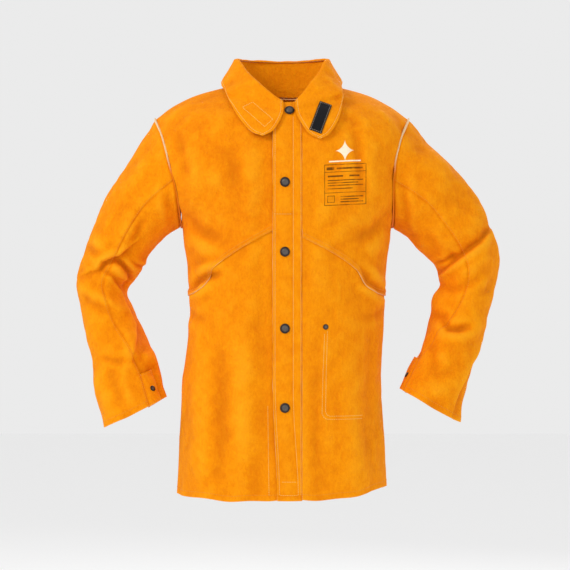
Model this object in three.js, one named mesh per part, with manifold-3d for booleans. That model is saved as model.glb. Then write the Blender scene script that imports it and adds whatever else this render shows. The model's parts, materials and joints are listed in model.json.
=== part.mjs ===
// A leather welding jacket in the shape it takes when it is worn with the hands on the hips.
// Millimetres, +Z up, the front faces -Y and +X is the wearer's left. Z is 0 at the hem, on the trunk's axis.
// "side" is +1 for the wearer's left and -1 for the wearer's right; "face" is -1 for the front and +1 for the back.
import * as THREE from "three";
import { mergeVertices } from "three/addons/utils/BufferGeometryUtils.js";
import Module from "manifold-3d";

const wasm = await Module();
wasm.setup();

const { clamp, lerp, smoothstep, degToRad } = THREE.MathUtils;
const LEFT = 1;
const RIGHT = -1;
const FRONT = -1;
const BACK = 1;

// ---------------------------------------------------------------- driving sizes
const LEATHER = 1.6; // one layer of split cowhide
const FACED = 2 * LEATHER; // an edge with its facing sewn behind it
const SEAM_GAP = 0.3; // between pieces that are sewn or clamped face to face

const HEM_HALF = 171; // half widths of the trunk
const HIP_HALF = 161;
const WAIST_HALF = 158;
const ARMPIT_HALF = 170;
const FRONT_DEPTH = 130; // from the trunk's axis
const BACK_DEPTH = 110;
const TRUNK_LEAN = 8; // how far the waist stands over to the wearer's left
const HEM_LIFT = 12; // how far the hem is pulled up at the wearer's left hip

const HIP_Z = 190;
const WAIST_Z = 300;
const ARMPIT_Z = 430;
const SHOULDER_X = 205; // where the shoulder seam meets the armhole
const SHOULDER_Z = 608;
const NECK_HALF = 74; // the neckline, an ellipse seen from above
const NECK_FRONT = FRONT_DEPTH - 36;
const NECK_BACK = BACK_DEPTH - 46;
const NECK_Z = SHOULDER_Z + 56; // where the shoulder seam meets the neckline
const SHOULDER_ROLL = 70; // radius of the roll over the shoulder, front to back

const PLACKET_SEAM_X = 32; // the row of stitches that the front flap folds along
const PLACKET_EDGE_X = -14; // the flap's free edge
const UNDERLAP_FROM_X = -28; // the faced edge of the right front, under the flap
const UNDERLAP_TO_X = 28;
const PLACKET_SPLIT_Z = SHOULDER_Z - 78; // the flap folds open below here

const FRONT_SEAM_Z = 428; // the slanting seam across the fronts, at the placket
const FRONT_SEAM_BEND_X = 122;
const FRONT_SEAM_BEND_Z = 362;
const SIDE_SEAM_Z = 328; // the same seam at the side, and across the back

const SNAP_X = 5;
const SNAP_HEIGHTS = [146, 270, 390, 499];
const NECK_SNAP = { x: 12, z: NECK_Z - 51 };
const SNAP_CAP_R = 7.75;
const SNAP_LAYER_GAP = 4.4; // room for the socket and the stud between the layers
const SMALL_CAP_R = 4.7;

// ---------------------------------------------------------------- curves and sheets
// A smooth function through [position, value] stations that never swings past them, level beyond its ends.
function profile(stations) {
  const at = stations.map((station) => station[0]);
  const value = stations.map((station) => station[1]);
  const slopes = at.slice(1).map((end, n) => (value[n + 1] - value[n]) / (end - at[n]));
  const tangents = at.map((_, n) => {
    const [before, after] = [slopes[Math.max(n - 1, 0)], slopes[Math.min(n, slopes.length - 1)]];
    return before * after <= 0 ? 0 : (2 * before * after) / (before + after);
  });
  return (position) => {
    const here = clamp(position, at[0], at[at.length - 1]);
    const n = Math.max(0, Math.min(at.findIndex((end) => end >= here) - 1, slopes.length - 1));
    const width = at[n + 1] - at[n];
    const t = (here - at[n]) / width;
    const rise = (value[n + 1] - value[n]) * t * t * (3 - 2 * t);
    return value[n] + rise + width * t * (1 - t) * (tangents[n] * (1 - t) - tangents[n + 1] * t);
  };
}

// A closed sheet of leather. point(u, v) is its outer surface, over 0 to 1 each way; turn is +1 where the
// outer side is along du x dv, and -1 where it is the other way. ring joins the last column to the first.
function sheet(point, columns, rows, { thickness = LEATHER, turn = 1, ring = false } = {}) {
  const nudge = 1e-3;
  const wide = ring ? columns : columns + 1;
  const outer = [];
  const inner = [];
  for (let j = 0; j <= rows; j++) {
    for (let i = 0; i < wide; i++) {
      const u = i / columns;
      const v = j / rows;
      const right = point(ring ? u + nudge : Math.min(u + nudge, 1), v);
      const left = point(ring ? u - nudge : Math.max(u - nudge, 0), v);
      const along = right.sub(left);
      const across = point(u, Math.min(v + nudge, 1)).sub(point(u, Math.max(v - nudge, 0)));
      const surface = point(u, v);
      outer.push(surface);
      inner.push(surface.clone().addScaledVector(along.cross(across).normalize(), -turn * thickness));
    }
  }
  const faces = [];
  const depth = outer.length;
  const quad = (a, b, c, d) => faces.push([a, b, c], [a, c, d]);
  const id = (i, j) => j * wide + (i % wide);
  for (let j = 0; j < rows; j++) {
    for (let i = 0; i < columns; i++) {
      quad(id(i, j), id(i + 1, j), id(i + 1, j + 1), id(i, j + 1));
      quad(depth + id(i, j), depth + id(i, j + 1), depth + id(i + 1, j + 1), depth + id(i + 1, j));
    }
  }
  const wall = (a, b) => quad(b, a, depth + a, depth + b);
  for (let i = 0; i < columns; i++) {
    wall(id(i, 0), id(i + 1, 0));
    wall(id(i + 1, rows), id(i, rows));
  }
  for (let j = 0; j < rows && !ring; j++) {
    wall(id(columns, j), id(columns, j + 1));
    wall(id(0, j + 1), id(0, j));
  }
  const corners = faces.flatMap((face) => (turn > 0 ? face : [face[0], face[2], face[1]]));
  const geometry = new THREE.BufferGeometry().setFromPoints([...outer, ...inner]);
  return geometry.setIndex(corners);
}

// Draws a sheet's own edges in, so that its neighbours stay clear of it.
function inset(point, edge = 0.002) {
  const draw = (value) => lerp(edge, 1 - edge, value);
  return (u, v) => point(draw(u), draw(v));
}

function solid(geometry) {
  const bare = geometry.clone();
  bare.deleteAttribute("normal");
  bare.deleteAttribute("uv");
  const merged = mergeVertices(bare, 1e-4);
  return new wasm.Manifold(
    new wasm.Mesh({
      numProp: 3,
      vertProperties: merged.attributes.position.array,
      triVerts: new Uint32Array(merged.index.array),
    }),
  );
}

function cut(geometry, tools) {
  const left = tools.reduce((piece, tool) => piece.subtract(solid(tool)), solid(geometry)).getMesh();
  const made = new THREE.BufferGeometry();
  made.setAttribute("position", new THREE.BufferAttribute(left.vertProperties, 3));
  return made.setIndex(new THREE.BufferAttribute(left.triVerts, 1));
}

// ---------------------------------------------------------------- materials
const leather = new THREE.MeshStandardMaterial({ color: 0xf29a0c, roughness: 0.9, metalness: 0 });
const rawEdge = new THREE.MeshStandardMaterial({ color: 0xf3c98a, roughness: 0.8, metalness: 0 });
const metal = new THREE.MeshStandardMaterial({ color: 0x4a4440, roughness: 0.45, metalness: 0.8 });
const loopTape = new THREE.MeshStandardMaterial({ color: 0x17161a, roughness: 0.95, metalness: 0 });

const jacket = new THREE.Group();

function piece(name, geometry, material = leather, parent = jacket) {
  const mesh = new THREE.Mesh(geometry, material);
  mesh.name = name;
  parent.add(mesh);
  return mesh;
}

// ---------------------------------------------------------------- the trunk's surface
const halfWidth = profile([
  [0, HEM_HALF],
  [HIP_Z, HIP_HALF],
  [WAIST_Z, WAIST_HALF],
  [ARMPIT_Z, ARMPIT_HALF],
  [lerp(ARMPIT_Z, SHOULDER_Z, 0.35), lerp(ARMPIT_HALF, SHOULDER_X, 0.75)],
  [lerp(ARMPIT_Z, SHOULDER_Z, 0.7), SHOULDER_X + 4],
  [SHOULDER_Z, SHOULDER_X + 12],
]);
const lean = profile([
  [HIP_Z, 0],
  [WAIST_Z, TRUNK_LEAN],
  [ARMPIT_Z, TRUNK_LEAN],
  [lerp(ARMPIT_Z, SHOULDER_Z, 0.6), 0],
]);
const frontDepth = profile([
  [0, FRONT_DEPTH - 3],
  [HIP_Z, FRONT_DEPTH],
  [PLACKET_SPLIT_Z, FRONT_DEPTH],
  [SHOULDER_Z - 10, FRONT_DEPTH - 19],
  [NECK_Z - 24, FRONT_DEPTH - 42],
  [NECK_Z + 36, FRONT_DEPTH - 88],
]);
const backDepth = profile([
  [0, BACK_DEPTH],
  [WAIST_Z, BACK_DEPTH - 11],
  [lerp(ARMPIT_Z, SHOULDER_Z, 0.4), BACK_DEPTH + 2],
  [SHOULDER_Z, BACK_DEPTH - 14],
  [NECK_Z, BACK_DEPTH - 42],
]);
const shoulderRidge = profile([
  [0, NECK_Z + 18],
  [NECK_HALF, NECK_Z],
  [lerp(NECK_HALF, SHOULDER_X, 0.45), lerp(NECK_Z, SHOULDER_Z, 0.27)],
  [lerp(NECK_HALF, SHOULDER_X, 0.75), lerp(NECK_Z, SHOULDER_Z, 0.6)],
  [SHOULDER_X, SHOULDER_Z],
]);
const SECTION_POWER = 2.4; // how square the trunk's section is: 2 is an ellipse

const halfWidthAt = (side, z) => halfWidth(z) + side * lean(z);

// "drop" is an angle: it rolls down from the shoulder ridge, and runs straight down after a quarter turn.
function dropAt(x, z) {
  const fall = shoulderRidge(Math.abs(x)) - z;
  return fall < SHOULDER_ROLL ? Math.acos(1 - Math.max(fall, 0) / SHOULDER_ROLL) : Math.PI / 2 - 1 + fall / SHOULDER_ROLL;
}

function heightAt(x, drop) {
  const turn = Math.min(drop, Math.PI / 2);
  return shoulderRidge(Math.abs(x)) - SHOULDER_ROLL * (1 - Math.cos(turn) + drop - turn);
}

// A point on the trunk: a squared ellipse at each height, closed over the shoulder by the roll.
// "share" runs from 0 at the centre to 1 at the side.
function section(side, share, z, drop, face) {
  const squared = (1 - Math.min(share, 1) ** SECTION_POWER) ** (1 / SECTION_POWER);
  const depth = face === FRONT ? frontDepth(z) : backDepth(z);
  const y = face * depth * squared * Math.sin(Math.min(drop, Math.PI / 2));
  return new THREE.Vector3(side * share * halfWidthAt(side, z), y, z);
}

function trunk(side, share, drop, face) {
  let z = ARMPIT_Z;
  for (let step = 0; step < 8; step++) z = heightAt(share * halfWidthAt(side, z), drop);
  return section(side, share, z, drop, face);
}

const sideOf = (x) => (x < 0 ? RIGHT : LEFT);
const shareAt = (x, z) => Math.abs(x) / halfWidthAt(sideOf(x), z);
const trunkAt = (x, z, face) => section(sideOf(x), shareAt(x, z), z, dropAt(x, z), face);

// The neckline, at an angle that is 0 on the shoulder seam and a right angle at the centre.
function neckline(side, angle, face) {
  const x = side * NECK_HALF * Math.cos(angle);
  const wanted = (face === FRONT ? NECK_FRONT : NECK_BACK) * Math.sin(angle);
  let low = 0;
  let high = 2.2;
  for (let step = 0; step < 40; step++) {
    const middle = (low + high) / 2;
    if (Math.abs(trunkAt(x, heightAt(x, middle), face).y) < wanted) low = middle;
    else high = middle;
  }
  return { x, drop: low, z: heightAt(x, low) };
}

// The armhole: angle 0 is at the shoulder seam, a quarter turn is at the front, and a half turn at the armpit.
const armholeX = profile([
  [ARMPIT_Z, ARMPIT_HALF],
  [lerp(ARMPIT_Z, SHOULDER_Z, 0.25), ARMPIT_HALF + 1],
  [lerp(ARMPIT_Z, SHOULDER_Z, 0.55), ARMPIT_HALF + 8],
  [lerp(ARMPIT_Z, SHOULDER_Z, 0.8), lerp(ARMPIT_HALF, SHOULDER_X, 0.55)],
  [SHOULDER_Z, SHOULDER_X],
]);

function armhole(side, angle) {
  const z = lerp(ARMPIT_Z, SHOULDER_Z, (1 + Math.cos(angle)) / 2);
  const x = armholeX(z) + side * lean(z);
  return trunkAt(side * x, z, Math.sin(angle) >= 0 ? FRONT : BACK);
}

// ---------------------------------------------------------------- trunk panels
const seamHeight = profile([
  [0, FRONT_SEAM_Z + 10],
  [PLACKET_SEAM_X, FRONT_SEAM_Z - 7],
  [FRONT_SEAM_BEND_X - 12, FRONT_SEAM_BEND_Z + 8],
  [FRONT_SEAM_BEND_X + 8, FRONT_SEAM_BEND_Z - 20],
  [WAIST_HALF, SIDE_SEAM_Z],
]);
const UPPER_ROWS = 14; // five of them lie below the armpit
const ARMPIT_ROW = 5 / UPPER_ROWS;
const NECK_ROW = 0.7;
const UNDERLAP_DEPTH = FACED + SNAP_LAYER_GAP;
const UNDERLAP_RAMP = 36;

const spread = (u, power) => 1 - (1 - u) ** power;
const hemHeight = (x) => HEM_LIFT * smoothstep(x, 50, HEM_HALF);

function outwardAt(x, z) {
  const nudge = 2;
  const across = trunkAt(x + nudge, z, FRONT).sub(trunkAt(x - nudge, z, FRONT));
  const up = trunkAt(x, z + nudge, FRONT).sub(trunkAt(x, z - nudge, FRONT));
  return across.cross(up).normalize();
}

// The right front dips behind the flap before it reaches it.
function dip(point) {
  const from = UNDERLAP_FROM_X - UNDERLAP_RAMP;
  const depth = UNDERLAP_DEPTH * smoothstep(point.x, from, UNDERLAP_FROM_X);
  return depth ? point.addScaledVector(outwardAt(point.x, point.z), -depth) : point;
}

// The seam across the fronts and the back, at a share of the way from the panel's inner edge to the side.
function crossSeam(side, face, edgeX, share) {
  const z = face === FRONT ? seamHeight(lerp(edgeX, WAIST_HALF, share)) : SIDE_SEAM_Z;
  return { x: side * lerp(edgeX, halfWidthAt(side, z), share), z };
}

function lowerPanel(side, face, edgeX) {
  return (u, v) => {
    const share = spread(u, SECTION_POWER);
    const hem = hemHeight(side * lerp(edgeX, HEM_HALF, share));
    const z = lerp(hem, crossSeam(side, face, edgeX, share).z, v);
    const point = trunkAt(side * lerp(edgeX, halfWidthAt(side, z), share), z, face);
    return side === RIGHT && face === FRONT ? dip(point) : point;
  };
}

// Rows run from the centre and the neckline out to the side seam and the armhole.
function upperPanel(side, face, edgeX) {
  const neckFrom = Math.acos(edgeX / NECK_HALF);
  const neckStart = neckline(side, neckFrom, face);
  const locate = (x, z) => ({ share: shareAt(x, z), drop: dropAt(x, z) });
  const seamStart = crossSeam(side, face, edgeX, 0);
  const centre = (v) => {
    if (v < NECK_ROW) return locate(side * edgeX, lerp(seamStart.z, neckStart.z, v / NECK_ROW));
    const point = neckline(side, neckFrom * (1 - (v - NECK_ROW) / (1 - NECK_ROW)), face);
    return { share: shareAt(point.x, point.z), drop: point.drop };
  };
  const outside = (v) => {
    if (v < ARMPIT_ROW) {
      const z = lerp(SIDE_SEAM_Z, ARMPIT_Z, v / ARMPIT_ROW);
      return locate(side * halfWidthAt(side, z), z);
    }
    const angle = Math.PI * (1 - (v - ARMPIT_ROW) / (1 - ARMPIT_ROW));
    const point = armhole(side, face === FRONT ? angle : -angle);
    return locate(point.x, point.z);
  };
  return (u, v) => {
    const across = spread(u, lerp(SECTION_POWER, 1, smoothstep(v, ARMPIT_ROW, ARMPIT_ROW + 0.3)));
    const from = centre(v);
    const to = outside(v);
    const seam = crossSeam(side, face, edgeX, spread(u, SECTION_POWER));
    const onSeam = locate(seam.x, seam.z);
    const level = spread(u, SECTION_POWER);
    const fade = (1 - v) ** 3;
    const share = lerp(from.share, to.share, across) + fade * (onSeam.share - lerp(centre(0).share, 1, level));
    const straight = lerp(centre(0).drop, outside(0).drop, level);
    const drop = lerp(from.drop, to.drop, across) + fade * (onSeam.drop - straight);
    const point = trunk(side, share, drop, face);
    return side === RIGHT && face === FRONT ? dip(point) : point;
  };
}

const SNAP_SIDES = 12;

function hole(r, at, normal) {
  const reach = 60;
  const drill = new THREE.CylinderGeometry(r, r, reach, SNAP_SIDES);
  const turn = new THREE.Quaternion().setFromUnitVectors(new THREE.Vector3(0, 1, 0), normal);
  return drill.applyQuaternion(turn).translate(at.x, at.y, at.z);
}

const POCKET_X = [62, 134];
const POCKET_Z = [127, 281];
const POCKET_BACK = LEATHER + 1.3;
const RIVET = { x: 68, z: 273 };
const RIVET_R = 4.4;

const rivetAt = trunkAt(RIVET.x, RIVET.z, FRONT);
const rivetOut = outwardAt(RIVET.x, RIVET.z);
const rivetHole = [hole(1.7, rivetAt, rivetOut)];
const CENTRE_GAP = SEAM_GAP / 2;
const leftEdge = PLACKET_SEAM_X + SEAM_GAP;
const rightEdge = -UNDERLAP_FROM_X + SEAM_GAP;
for (const [name, side, face, edgeX] of [
  ["front_right", RIGHT, FRONT, rightEdge],
  ["front_left", LEFT, FRONT, leftEdge],
  ["back_right", RIGHT, BACK, CENTRE_GAP],
  ["back_left", LEFT, BACK, CENTRE_GAP],
]) {
  const turn = -side * face;
  piece(`${name}_upper`, sheet(inset(upperPanel(side, face, edgeX)), 8, UPPER_ROWS, { turn }));
  if (face === FRONT) {
    const lower = sheet(inset(lowerPanel(side, face, edgeX)), 8, 7, { turn });
    piece(`${name}_lower`, side === LEFT ? cut(lower, rivetHole) : lower);
  }
}

// The lower back is one hide, from side seam to side seam.
const backHalves = { [RIGHT]: lowerPanel(RIGHT, BACK, 0), [LEFT]: lowerPanel(LEFT, BACK, 0) };
piece(
  "back_lower",
  sheet(inset((u, v) => backHalves[u < 0.5 ? RIGHT : LEFT](Math.abs(2 * u - 1), v)), 16, 6, { turn: -1 }),
);

// ---------------------------------------------------------------- snaps
const lathe = (outline) =>
  new THREE.LatheGeometry(
    outline.map(([r, y]) => new THREE.Vector2(r, y)),
    SNAP_SIDES,
  );

// A press snap on the outer surface at local y 0, with the cap outside. top is the thickness of the flap,
// and under that of the layer that carries the stud; room lies between them.
const SOCKET_HEIGHT = 2.2;
const SHANK_CLEARANCE = 0.4;

function snapShapes(capR, top, room, under, seat = SEAM_GAP) {
  const k = capR / SNAP_CAP_R;
  const shankR = 1.7 * k;
  const ballR = 2.6 * k;
  const rivetR = 1.3 * k;
  const socketTop = -top - seat;
  const cavityTop = socketTop - 0.6;
  const socketFoot = socketTop - SOCKET_HEIGHT;
  const studFoot = -top - room + SEAM_GAP;
  const ballTop = cavityTop - SEAM_GAP;
  const postHead = -top - room - under - seat;
  const cavityR = ballR + SHANK_CLEARANCE;
  const holeR = shankR + SHANK_CLEARANCE;
  const hollowR = rivetR + SEAM_GAP;
  return {
    cap: lathe([
      [0, cavityTop + 0.1],
      [shankR, cavityTop + 0.1],
      [shankR, seat],
      [capR, seat],
      [capR, 1.1],
      [capR * 0.83, 2.3 * k],
      [capR * 0.5, 2.9 * k],
      [0, 3.1 * k],
    ]),
    socket: lathe([
      [5.2 * k, socketFoot],
      [5.2 * k, socketTop],
      [holeR, socketTop],
      [holeR, cavityTop],
      [cavityR, cavityTop],
      [cavityR, socketFoot],
      [5.2 * k, socketFoot],
    ]),
    stud: lathe([
      [0, ballTop - 0.6],
      [hollowR, ballTop - 0.6],
      [hollowR, studFoot],
      [4.6 * k, studFoot],
      [4.6 * k, studFoot + 0.7],
      [ballR * 0.8, studFoot + 0.9],
      [ballR, ballTop - 0.9],
      [ballR, ballTop - 0.4],
      [ballR * 0.7, ballTop],
      [0, ballTop],
    ]),
    post: lathe([
      [0, postHead - 0.8],
      [4.2 * k, postHead - 0.8],
      [4.2 * k, postHead],
      [rivetR, postHead],
      [rivetR, ballTop - 1.2],
      [0, ballTop - 1.2],
    ]),
    holes: { top: holeR, under: rivetR + SHANK_CLEARANCE },
  };
}

// Puts a snap's pieces in a group of their own that stands on the surface.
function setSnap(name, shapes, kinds, at, normal) {
  const group = new THREE.Group();
  group.position.copy(at);
  group.quaternion.setFromUnitVectors(new THREE.Vector3(0, 1, 0), normal);
  jacket.add(group);
  for (const kind of kinds) piece(`${name}_${kind}`, shapes[kind], metal, group);
  return group;
}

const SNAP_KINDS = ["cap", "socket", "stud", "post"];
const frontSnap = snapShapes(SNAP_CAP_R, FACED, SNAP_LAYER_GAP, FACED, 0.5);
const neckSnap = snapShapes(SNAP_CAP_R, FACED, SNAP_LAYER_GAP, FACED, 0.9); // the surface is rounder there

const snapPlaces = [...SNAP_HEIGHTS.map((z) => ({ x: SNAP_X, z })), NECK_SNAP].map(({ x, z }) => ({
  at: trunkAt(x, z, FRONT),
  normal: outwardAt(x, z),
}));
const holesFor = (r, places) => places.map((place) => hole(r, place.at, place.normal));
snapPlaces.forEach(({ at, normal }, n) => {
  const shapes = n < SNAP_HEIGHTS.length ? frontSnap : neckSnap;
  setSnap(`snap_${n + 1}`, shapes, SNAP_KINDS, at, normal);
});

// ---------------------------------------------------------------- the closure
// The flap is the left front's faced edge: it folds open about its stitched line. Its top stays under the collar.
function strip(fromX, toX, fromZ, toZ, depth = 0) {
  return (u, v) => {
    const x = lerp(fromX, toX, u);
    const top = toZ ?? neckline(LEFT, Math.acos(clamp(x / NECK_HALF, -1, 1)), FRONT).z;
    const z = lerp(fromZ, top, toZ === null ? 1 - (1 - v) ** 1.5 : v);
    return trunkAt(x, z, FRONT).addScaledVector(outwardAt(x, z), -depth);
  };
}

const flap = strip(PLACKET_EDGE_X, PLACKET_SEAM_X, 0, PLACKET_SPLIT_Z - SEAM_GAP);
const flapTop = strip(PLACKET_EDGE_X, PLACKET_SEAM_X, PLACKET_SPLIT_Z, null);
const underlap = strip(UNDERLAP_FROM_X, UNDERLAP_TO_X, 0, null, UNDERLAP_DEPTH);
const belowSplit = snapPlaces.filter((place) => place.at.z < PLACKET_SPLIT_Z);
const aboveSplit = snapPlaces.filter((place) => place.at.z >= PLACKET_SPLIT_Z);
piece("placket_lower", cut(sheet(flap, 4, 12, { thickness: FACED }), holesFor(frontSnap.holes.top, belowSplit)));
piece("placket_upper", cut(sheet(flapTop, 4, 8, { thickness: FACED }), holesFor(frontSnap.holes.top, aboveSplit)));
piece("right_front_edge", cut(sheet(underlap, 4, 20, { thickness: FACED }), holesFor(frontSnap.holes.under, snapPlaces)));

// ---------------------------------------------------------------- sleeves
// Stations run from the armhole to the cuff: [along, outer x, outer z, inner x, inner z, centre y, half depth].
const SLEEVES = {
  [RIGHT]: [
    [0.0, SHOULDER_X, SHOULDER_Z, ARMPIT_HALF - TRUNK_LEAN, ARMPIT_Z, 0, 80],
    [0.12, 238, 556, 188, 420, 2, 72],
    [0.28, 284, 482, 214, 394, 6, 62],
    [0.42, 318, 408, 238, 354, 12, 56],
    [0.52, 336, 348, 254, 332, 15, 54],
    [0.62, 328, 298, 244, 300, 11, 54],
    [0.78, 310, 216, 216, 240, -8, 52],
    [1.0, 286, 109, 186, 158, -42, 49],
  ],
  [LEFT]: [
    [0.0, SHOULDER_X, SHOULDER_Z, ARMPIT_HALF + TRUNK_LEAN, ARMPIT_Z, 0, 80],
    [0.12, 242, 566, 204, 420, 2, 72],
    [0.28, 298, 508, 232, 388, 6, 62],
    [0.42, 338, 436, 256, 358, 12, 56],
    [0.52, 354, 380, 262, 340, 15, 54],
    [0.62, 347, 326, 250, 304, 11, 54],
    [0.78, 322, 244, 234, 256, -8, 52],
    [1.0, 285, 118, 189, 172, -42, 49],
  ],
};
const ELBOW = [0.465, 0.585]; // the bend between the upper sleeve and the forearm
const FRONT_SEAM = degToRad(100); // angles of the sleeve's two long seams, at the armhole
const BACK_SEAM = degToRad(260);
const CUFF_SEAM = { [RIGHT]: degToRad(122), [LEFT]: degToRad(156) };
const FLAP_SWEEP = degToRad(32);
const FLAP_FROM = 0.875;
const CUFF_DIP = LEATHER + SNAP_LAYER_GAP;
const WELT_THICK = 1.5; // the raw edge that stands out along each armhole
const WELT_HEIGHT = 2.8;
const WELT_ROOM = WELT_THICK + 1.3;


function sleeveOf(side) {
  const channels = [1, 2, 3, 4, 5, 6].map((column) => profile(SLEEVES[side].map((row) => [row[0], row[column]])));
  const ring = (along, angle) => {
    const [outerX, outerZ, innerX, innerZ, y, depth] = channels.map((channel) => channel(along));
    const lean01 = (1 + Math.cos(angle)) / 2;
    const x = side * lerp(innerX, outerX, lean01);
    return new THREE.Vector3(x, y - depth * Math.sin(angle), lerp(innerZ, outerZ, lean01));
  };
  return (along, angle) => {
    const head = armhole(side, angle);
    head.x += side * WELT_ROOM;
    const strayed = head.sub(ring(0, angle));
    return ring(along, angle).addScaledVector(strayed, 1 - smoothstep(along, 0, 0.2));
  };
}

const frontSeamAngle = (side, along) => lerp(FRONT_SEAM, CUFF_SEAM[side], smoothstep(along, ELBOW[1], 0.9));

// The under sleeve runs on beneath the cuff flap, dipped inwards to leave room for the snap.
function cuffDip(side, along, angle) {
  const past = angle - CUFF_SEAM[side];
  const around = smoothstep(past, -0.35, 0) * (1 - smoothstep(past, FLAP_SWEEP, FLAP_SWEEP + 0.45));
  return CUFF_DIP * around * smoothstep(along, FLAP_FROM - 0.07, FLAP_FROM - 0.005);
}

function sleevePanel(side, from, to, fromAngle, toAngle, dipped = false) {
  const surface = sleeveOf(side);
  return (u, v) => {
    const along = lerp(from, to, v);
    const angle = lerp(fromAngle(along), toAngle(along), u);
    const point = surface(along, angle);
    if (!dipped) return point;
    const axis = surface(along, angle).lerp(surface(along, angle + Math.PI), 0.5);
    return point.addScaledVector(axis.sub(point).normalize(), cuffDip(side, along, angle));
  };
}

const SEAM_ANGLE = 0.003;
const ROW_GAP = 0.0015;
const CUFF_SNAP_ALONG = 0.945;
const ELBOW_PIVOT = 0.62; // where the elbow's axis lies, from the inside of the bend to the outside

function normalOf(point, u, v, turn) {
  const nudge = 1e-3;
  const along = point(u + nudge, v).sub(point(u - nudge, v));
  const across = point(u, v + nudge).sub(point(u, v - nudge));
  return along.cross(across).normalize().multiplyScalar(turn);
}

// Returns the axes of the joints that the sleeve holds: the elbow, and the flap that opens at the cuff.
function makeSleeve(side, name) {
  const surface = sleeveOf(side);
  const turn = side;
  const seam = (along) => frontSeamAngle(side, along);
  const backSeam = () => BACK_SEAM;
  const behind = () => BACK_SEAM - 2 * Math.PI;
  const [elbowFrom, elbowTo] = ELBOW;
  const flatSeam = () => FRONT_SEAM;
  const top = (from, to, edge) => sleevePanel(side, from, to, (a) => behind() + SEAM_ANGLE, (a) => edge(a) - SEAM_ANGLE);
  const under = (from, to, edge) => sleevePanel(side, from, to, (a) => edge(a) + SEAM_ANGLE, backSeam, true);

  piece(`${name}_upper_top`, sheet(top(0, elbowFrom, flatSeam), 10, 8, { turn }));
  piece(`${name}_upper_under`, sheet(under(0, elbowFrom, flatSeam), 8, 8, { turn }));
  const bend = (u, v) => sleeveOf(side)(lerp(elbowFrom + ROW_GAP, elbowTo - ROW_GAP, v), 2 * Math.PI * u);
  piece(`${name}_elbow`, sheet(bend, 16, 3, { turn, ring: true }));
  piece(`${name}_forearm_top`, sheet(top(elbowTo, 1, seam), 10, 10, { turn }));

  // The under sleeve meets the top sleeve along the seam, and passes under the flap at the cuff.
  const flapAngle = (a) => seam(a) + SEAM_ANGLE;
  const forearmUnder = sleevePanel(side, elbowTo, 1, flapAngle, backSeam, true);
  const cuffFlap = sleevePanel(side, FLAP_FROM, 1, () => CUFF_SEAM[side] + SEAM_ANGLE, () => CUFF_SEAM[side] + FLAP_SWEEP);
  const snapV = (CUFF_SNAP_ALONG - FLAP_FROM) / (1 - FLAP_FROM);
  const at = cuffFlap(0.5, snapV);
  const normal = normalOf(cuffFlap, 0.5, snapV, turn);
  const cuffSnap = snapShapes(SMALL_CAP_R, LEATHER, SNAP_LAYER_GAP, LEATHER, 0.6);
  piece(`${name}_forearm_under`, cut(sheet(forearmUnder, 9, 10, { turn }), [hole(cuffSnap.holes.under, at, normal)]));
  piece(`${name}_cuff_flap`, cut(sheet(cuffFlap, 4, 3, { turn }), [hole(cuffSnap.holes.top, at, normal)]));
  setSnap(`${name}_cuff_snap`, cuffSnap, ["cap", "socket", "stud"], at, normal);

  const centre = (along) => surface(along, 0).lerp(surface(along, Math.PI), 0.5);
  const surfaceAxis = [centre(0.02), centre(0.525), centre(1)];
  const [upper, lower] = [surfaceAxis[1].clone().sub(surfaceAxis[0]), surfaceAxis[2].clone().sub(surfaceAxis[1])];
  const foldEnds = [cuffFlap(0, 0), cuffFlap(0, 1)];
  const foldLine = foldEnds[1].clone().sub(foldEnds[0]).normalize();
  const opens = cuffFlap(0.3, 0.5).sub(cuffFlap(0, 0.5)).cross(normal).dot(foldLine);
  return {
    [`${name}_elbow`]: { at: surfaceAxis[1], axis: upper.cross(lower).normalize() },
    [`${name}_cuff_flap`]: { at: foldEnds[0].lerp(foldEnds[1], 0.5), axis: foldLine.multiplyScalar(Math.sign(opens)) },
  };
}

const sleeveJoints = { ...makeSleeve(RIGHT, "sleeve_right"), ...makeSleeve(LEFT, "sleeve_left") };

// ---------------------------------------------------------------- armhole welts
// The raw seam allowance that stands out along each armhole: a strip with a square section, closed on itself.
const WELT_STEPS = 18;
const WELT_CORNERS = [
  [0, 0],
  [1, 0],
  [1, 1],
  [0, 1],
];

function weltGeometry(side) {
  const middle = armhole(side, Math.PI / 2).lerp(armhole(side, -Math.PI / 2), 0.5);
  const points = [];
  const faces = [];
  for (let step = 0; step < WELT_STEPS; step++) {
    const foot = armhole(side, (2 * Math.PI * step) / WELT_STEPS);
    const out = foot.clone().sub(middle).setX(0).normalize();
    for (const [w, h] of WELT_CORNERS) {
      const corner = foot.clone().addScaledVector(out, WELT_HEIGHT * h);
      corner.x += side * ((WELT_ROOM - WELT_THICK) / 2 + WELT_THICK * w);
      points.push(corner);
    }
    const next = (step + 1) % WELT_STEPS;
    for (let k = 0; k < 4; k++) {
      const onward = (k + 1) % 4;
      const [a, b, c, d] = [4 * step + k, 4 * step + onward, 4 * next + onward, 4 * next + k];
      if (side === LEFT) faces.push(a, b, c, a, c, d);
      else faces.push(a, c, b, a, d, c);
    }
  }
  return new THREE.BufferGeometry().setFromPoints(points).setIndex(faces);
}

piece("armhole_welt_right", weltGeometry(RIGHT), rawEdge);
piece("armhole_welt_left", weltGeometry(LEFT), rawEdge);

// ---------------------------------------------------------------- collar
// Each side's fold line and lower edge run from the front to the middle of the back.
// The wing is the part below a straight crease, and folds up about it.
// A place on the collar: its height is from the neck point, and its depth follows the trunk's.
const DRAWN_FRONT = 130;
const DRAWN_BACK = 110;
function overNeck([x, y, z]) {
  const deep = y < 0 ? FRONT_DEPTH / DRAWN_FRONT : BACK_DEPTH / DRAWN_BACK;
  return new THREE.Vector3(x, y * deep, NECK_Z + z);
}

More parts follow.
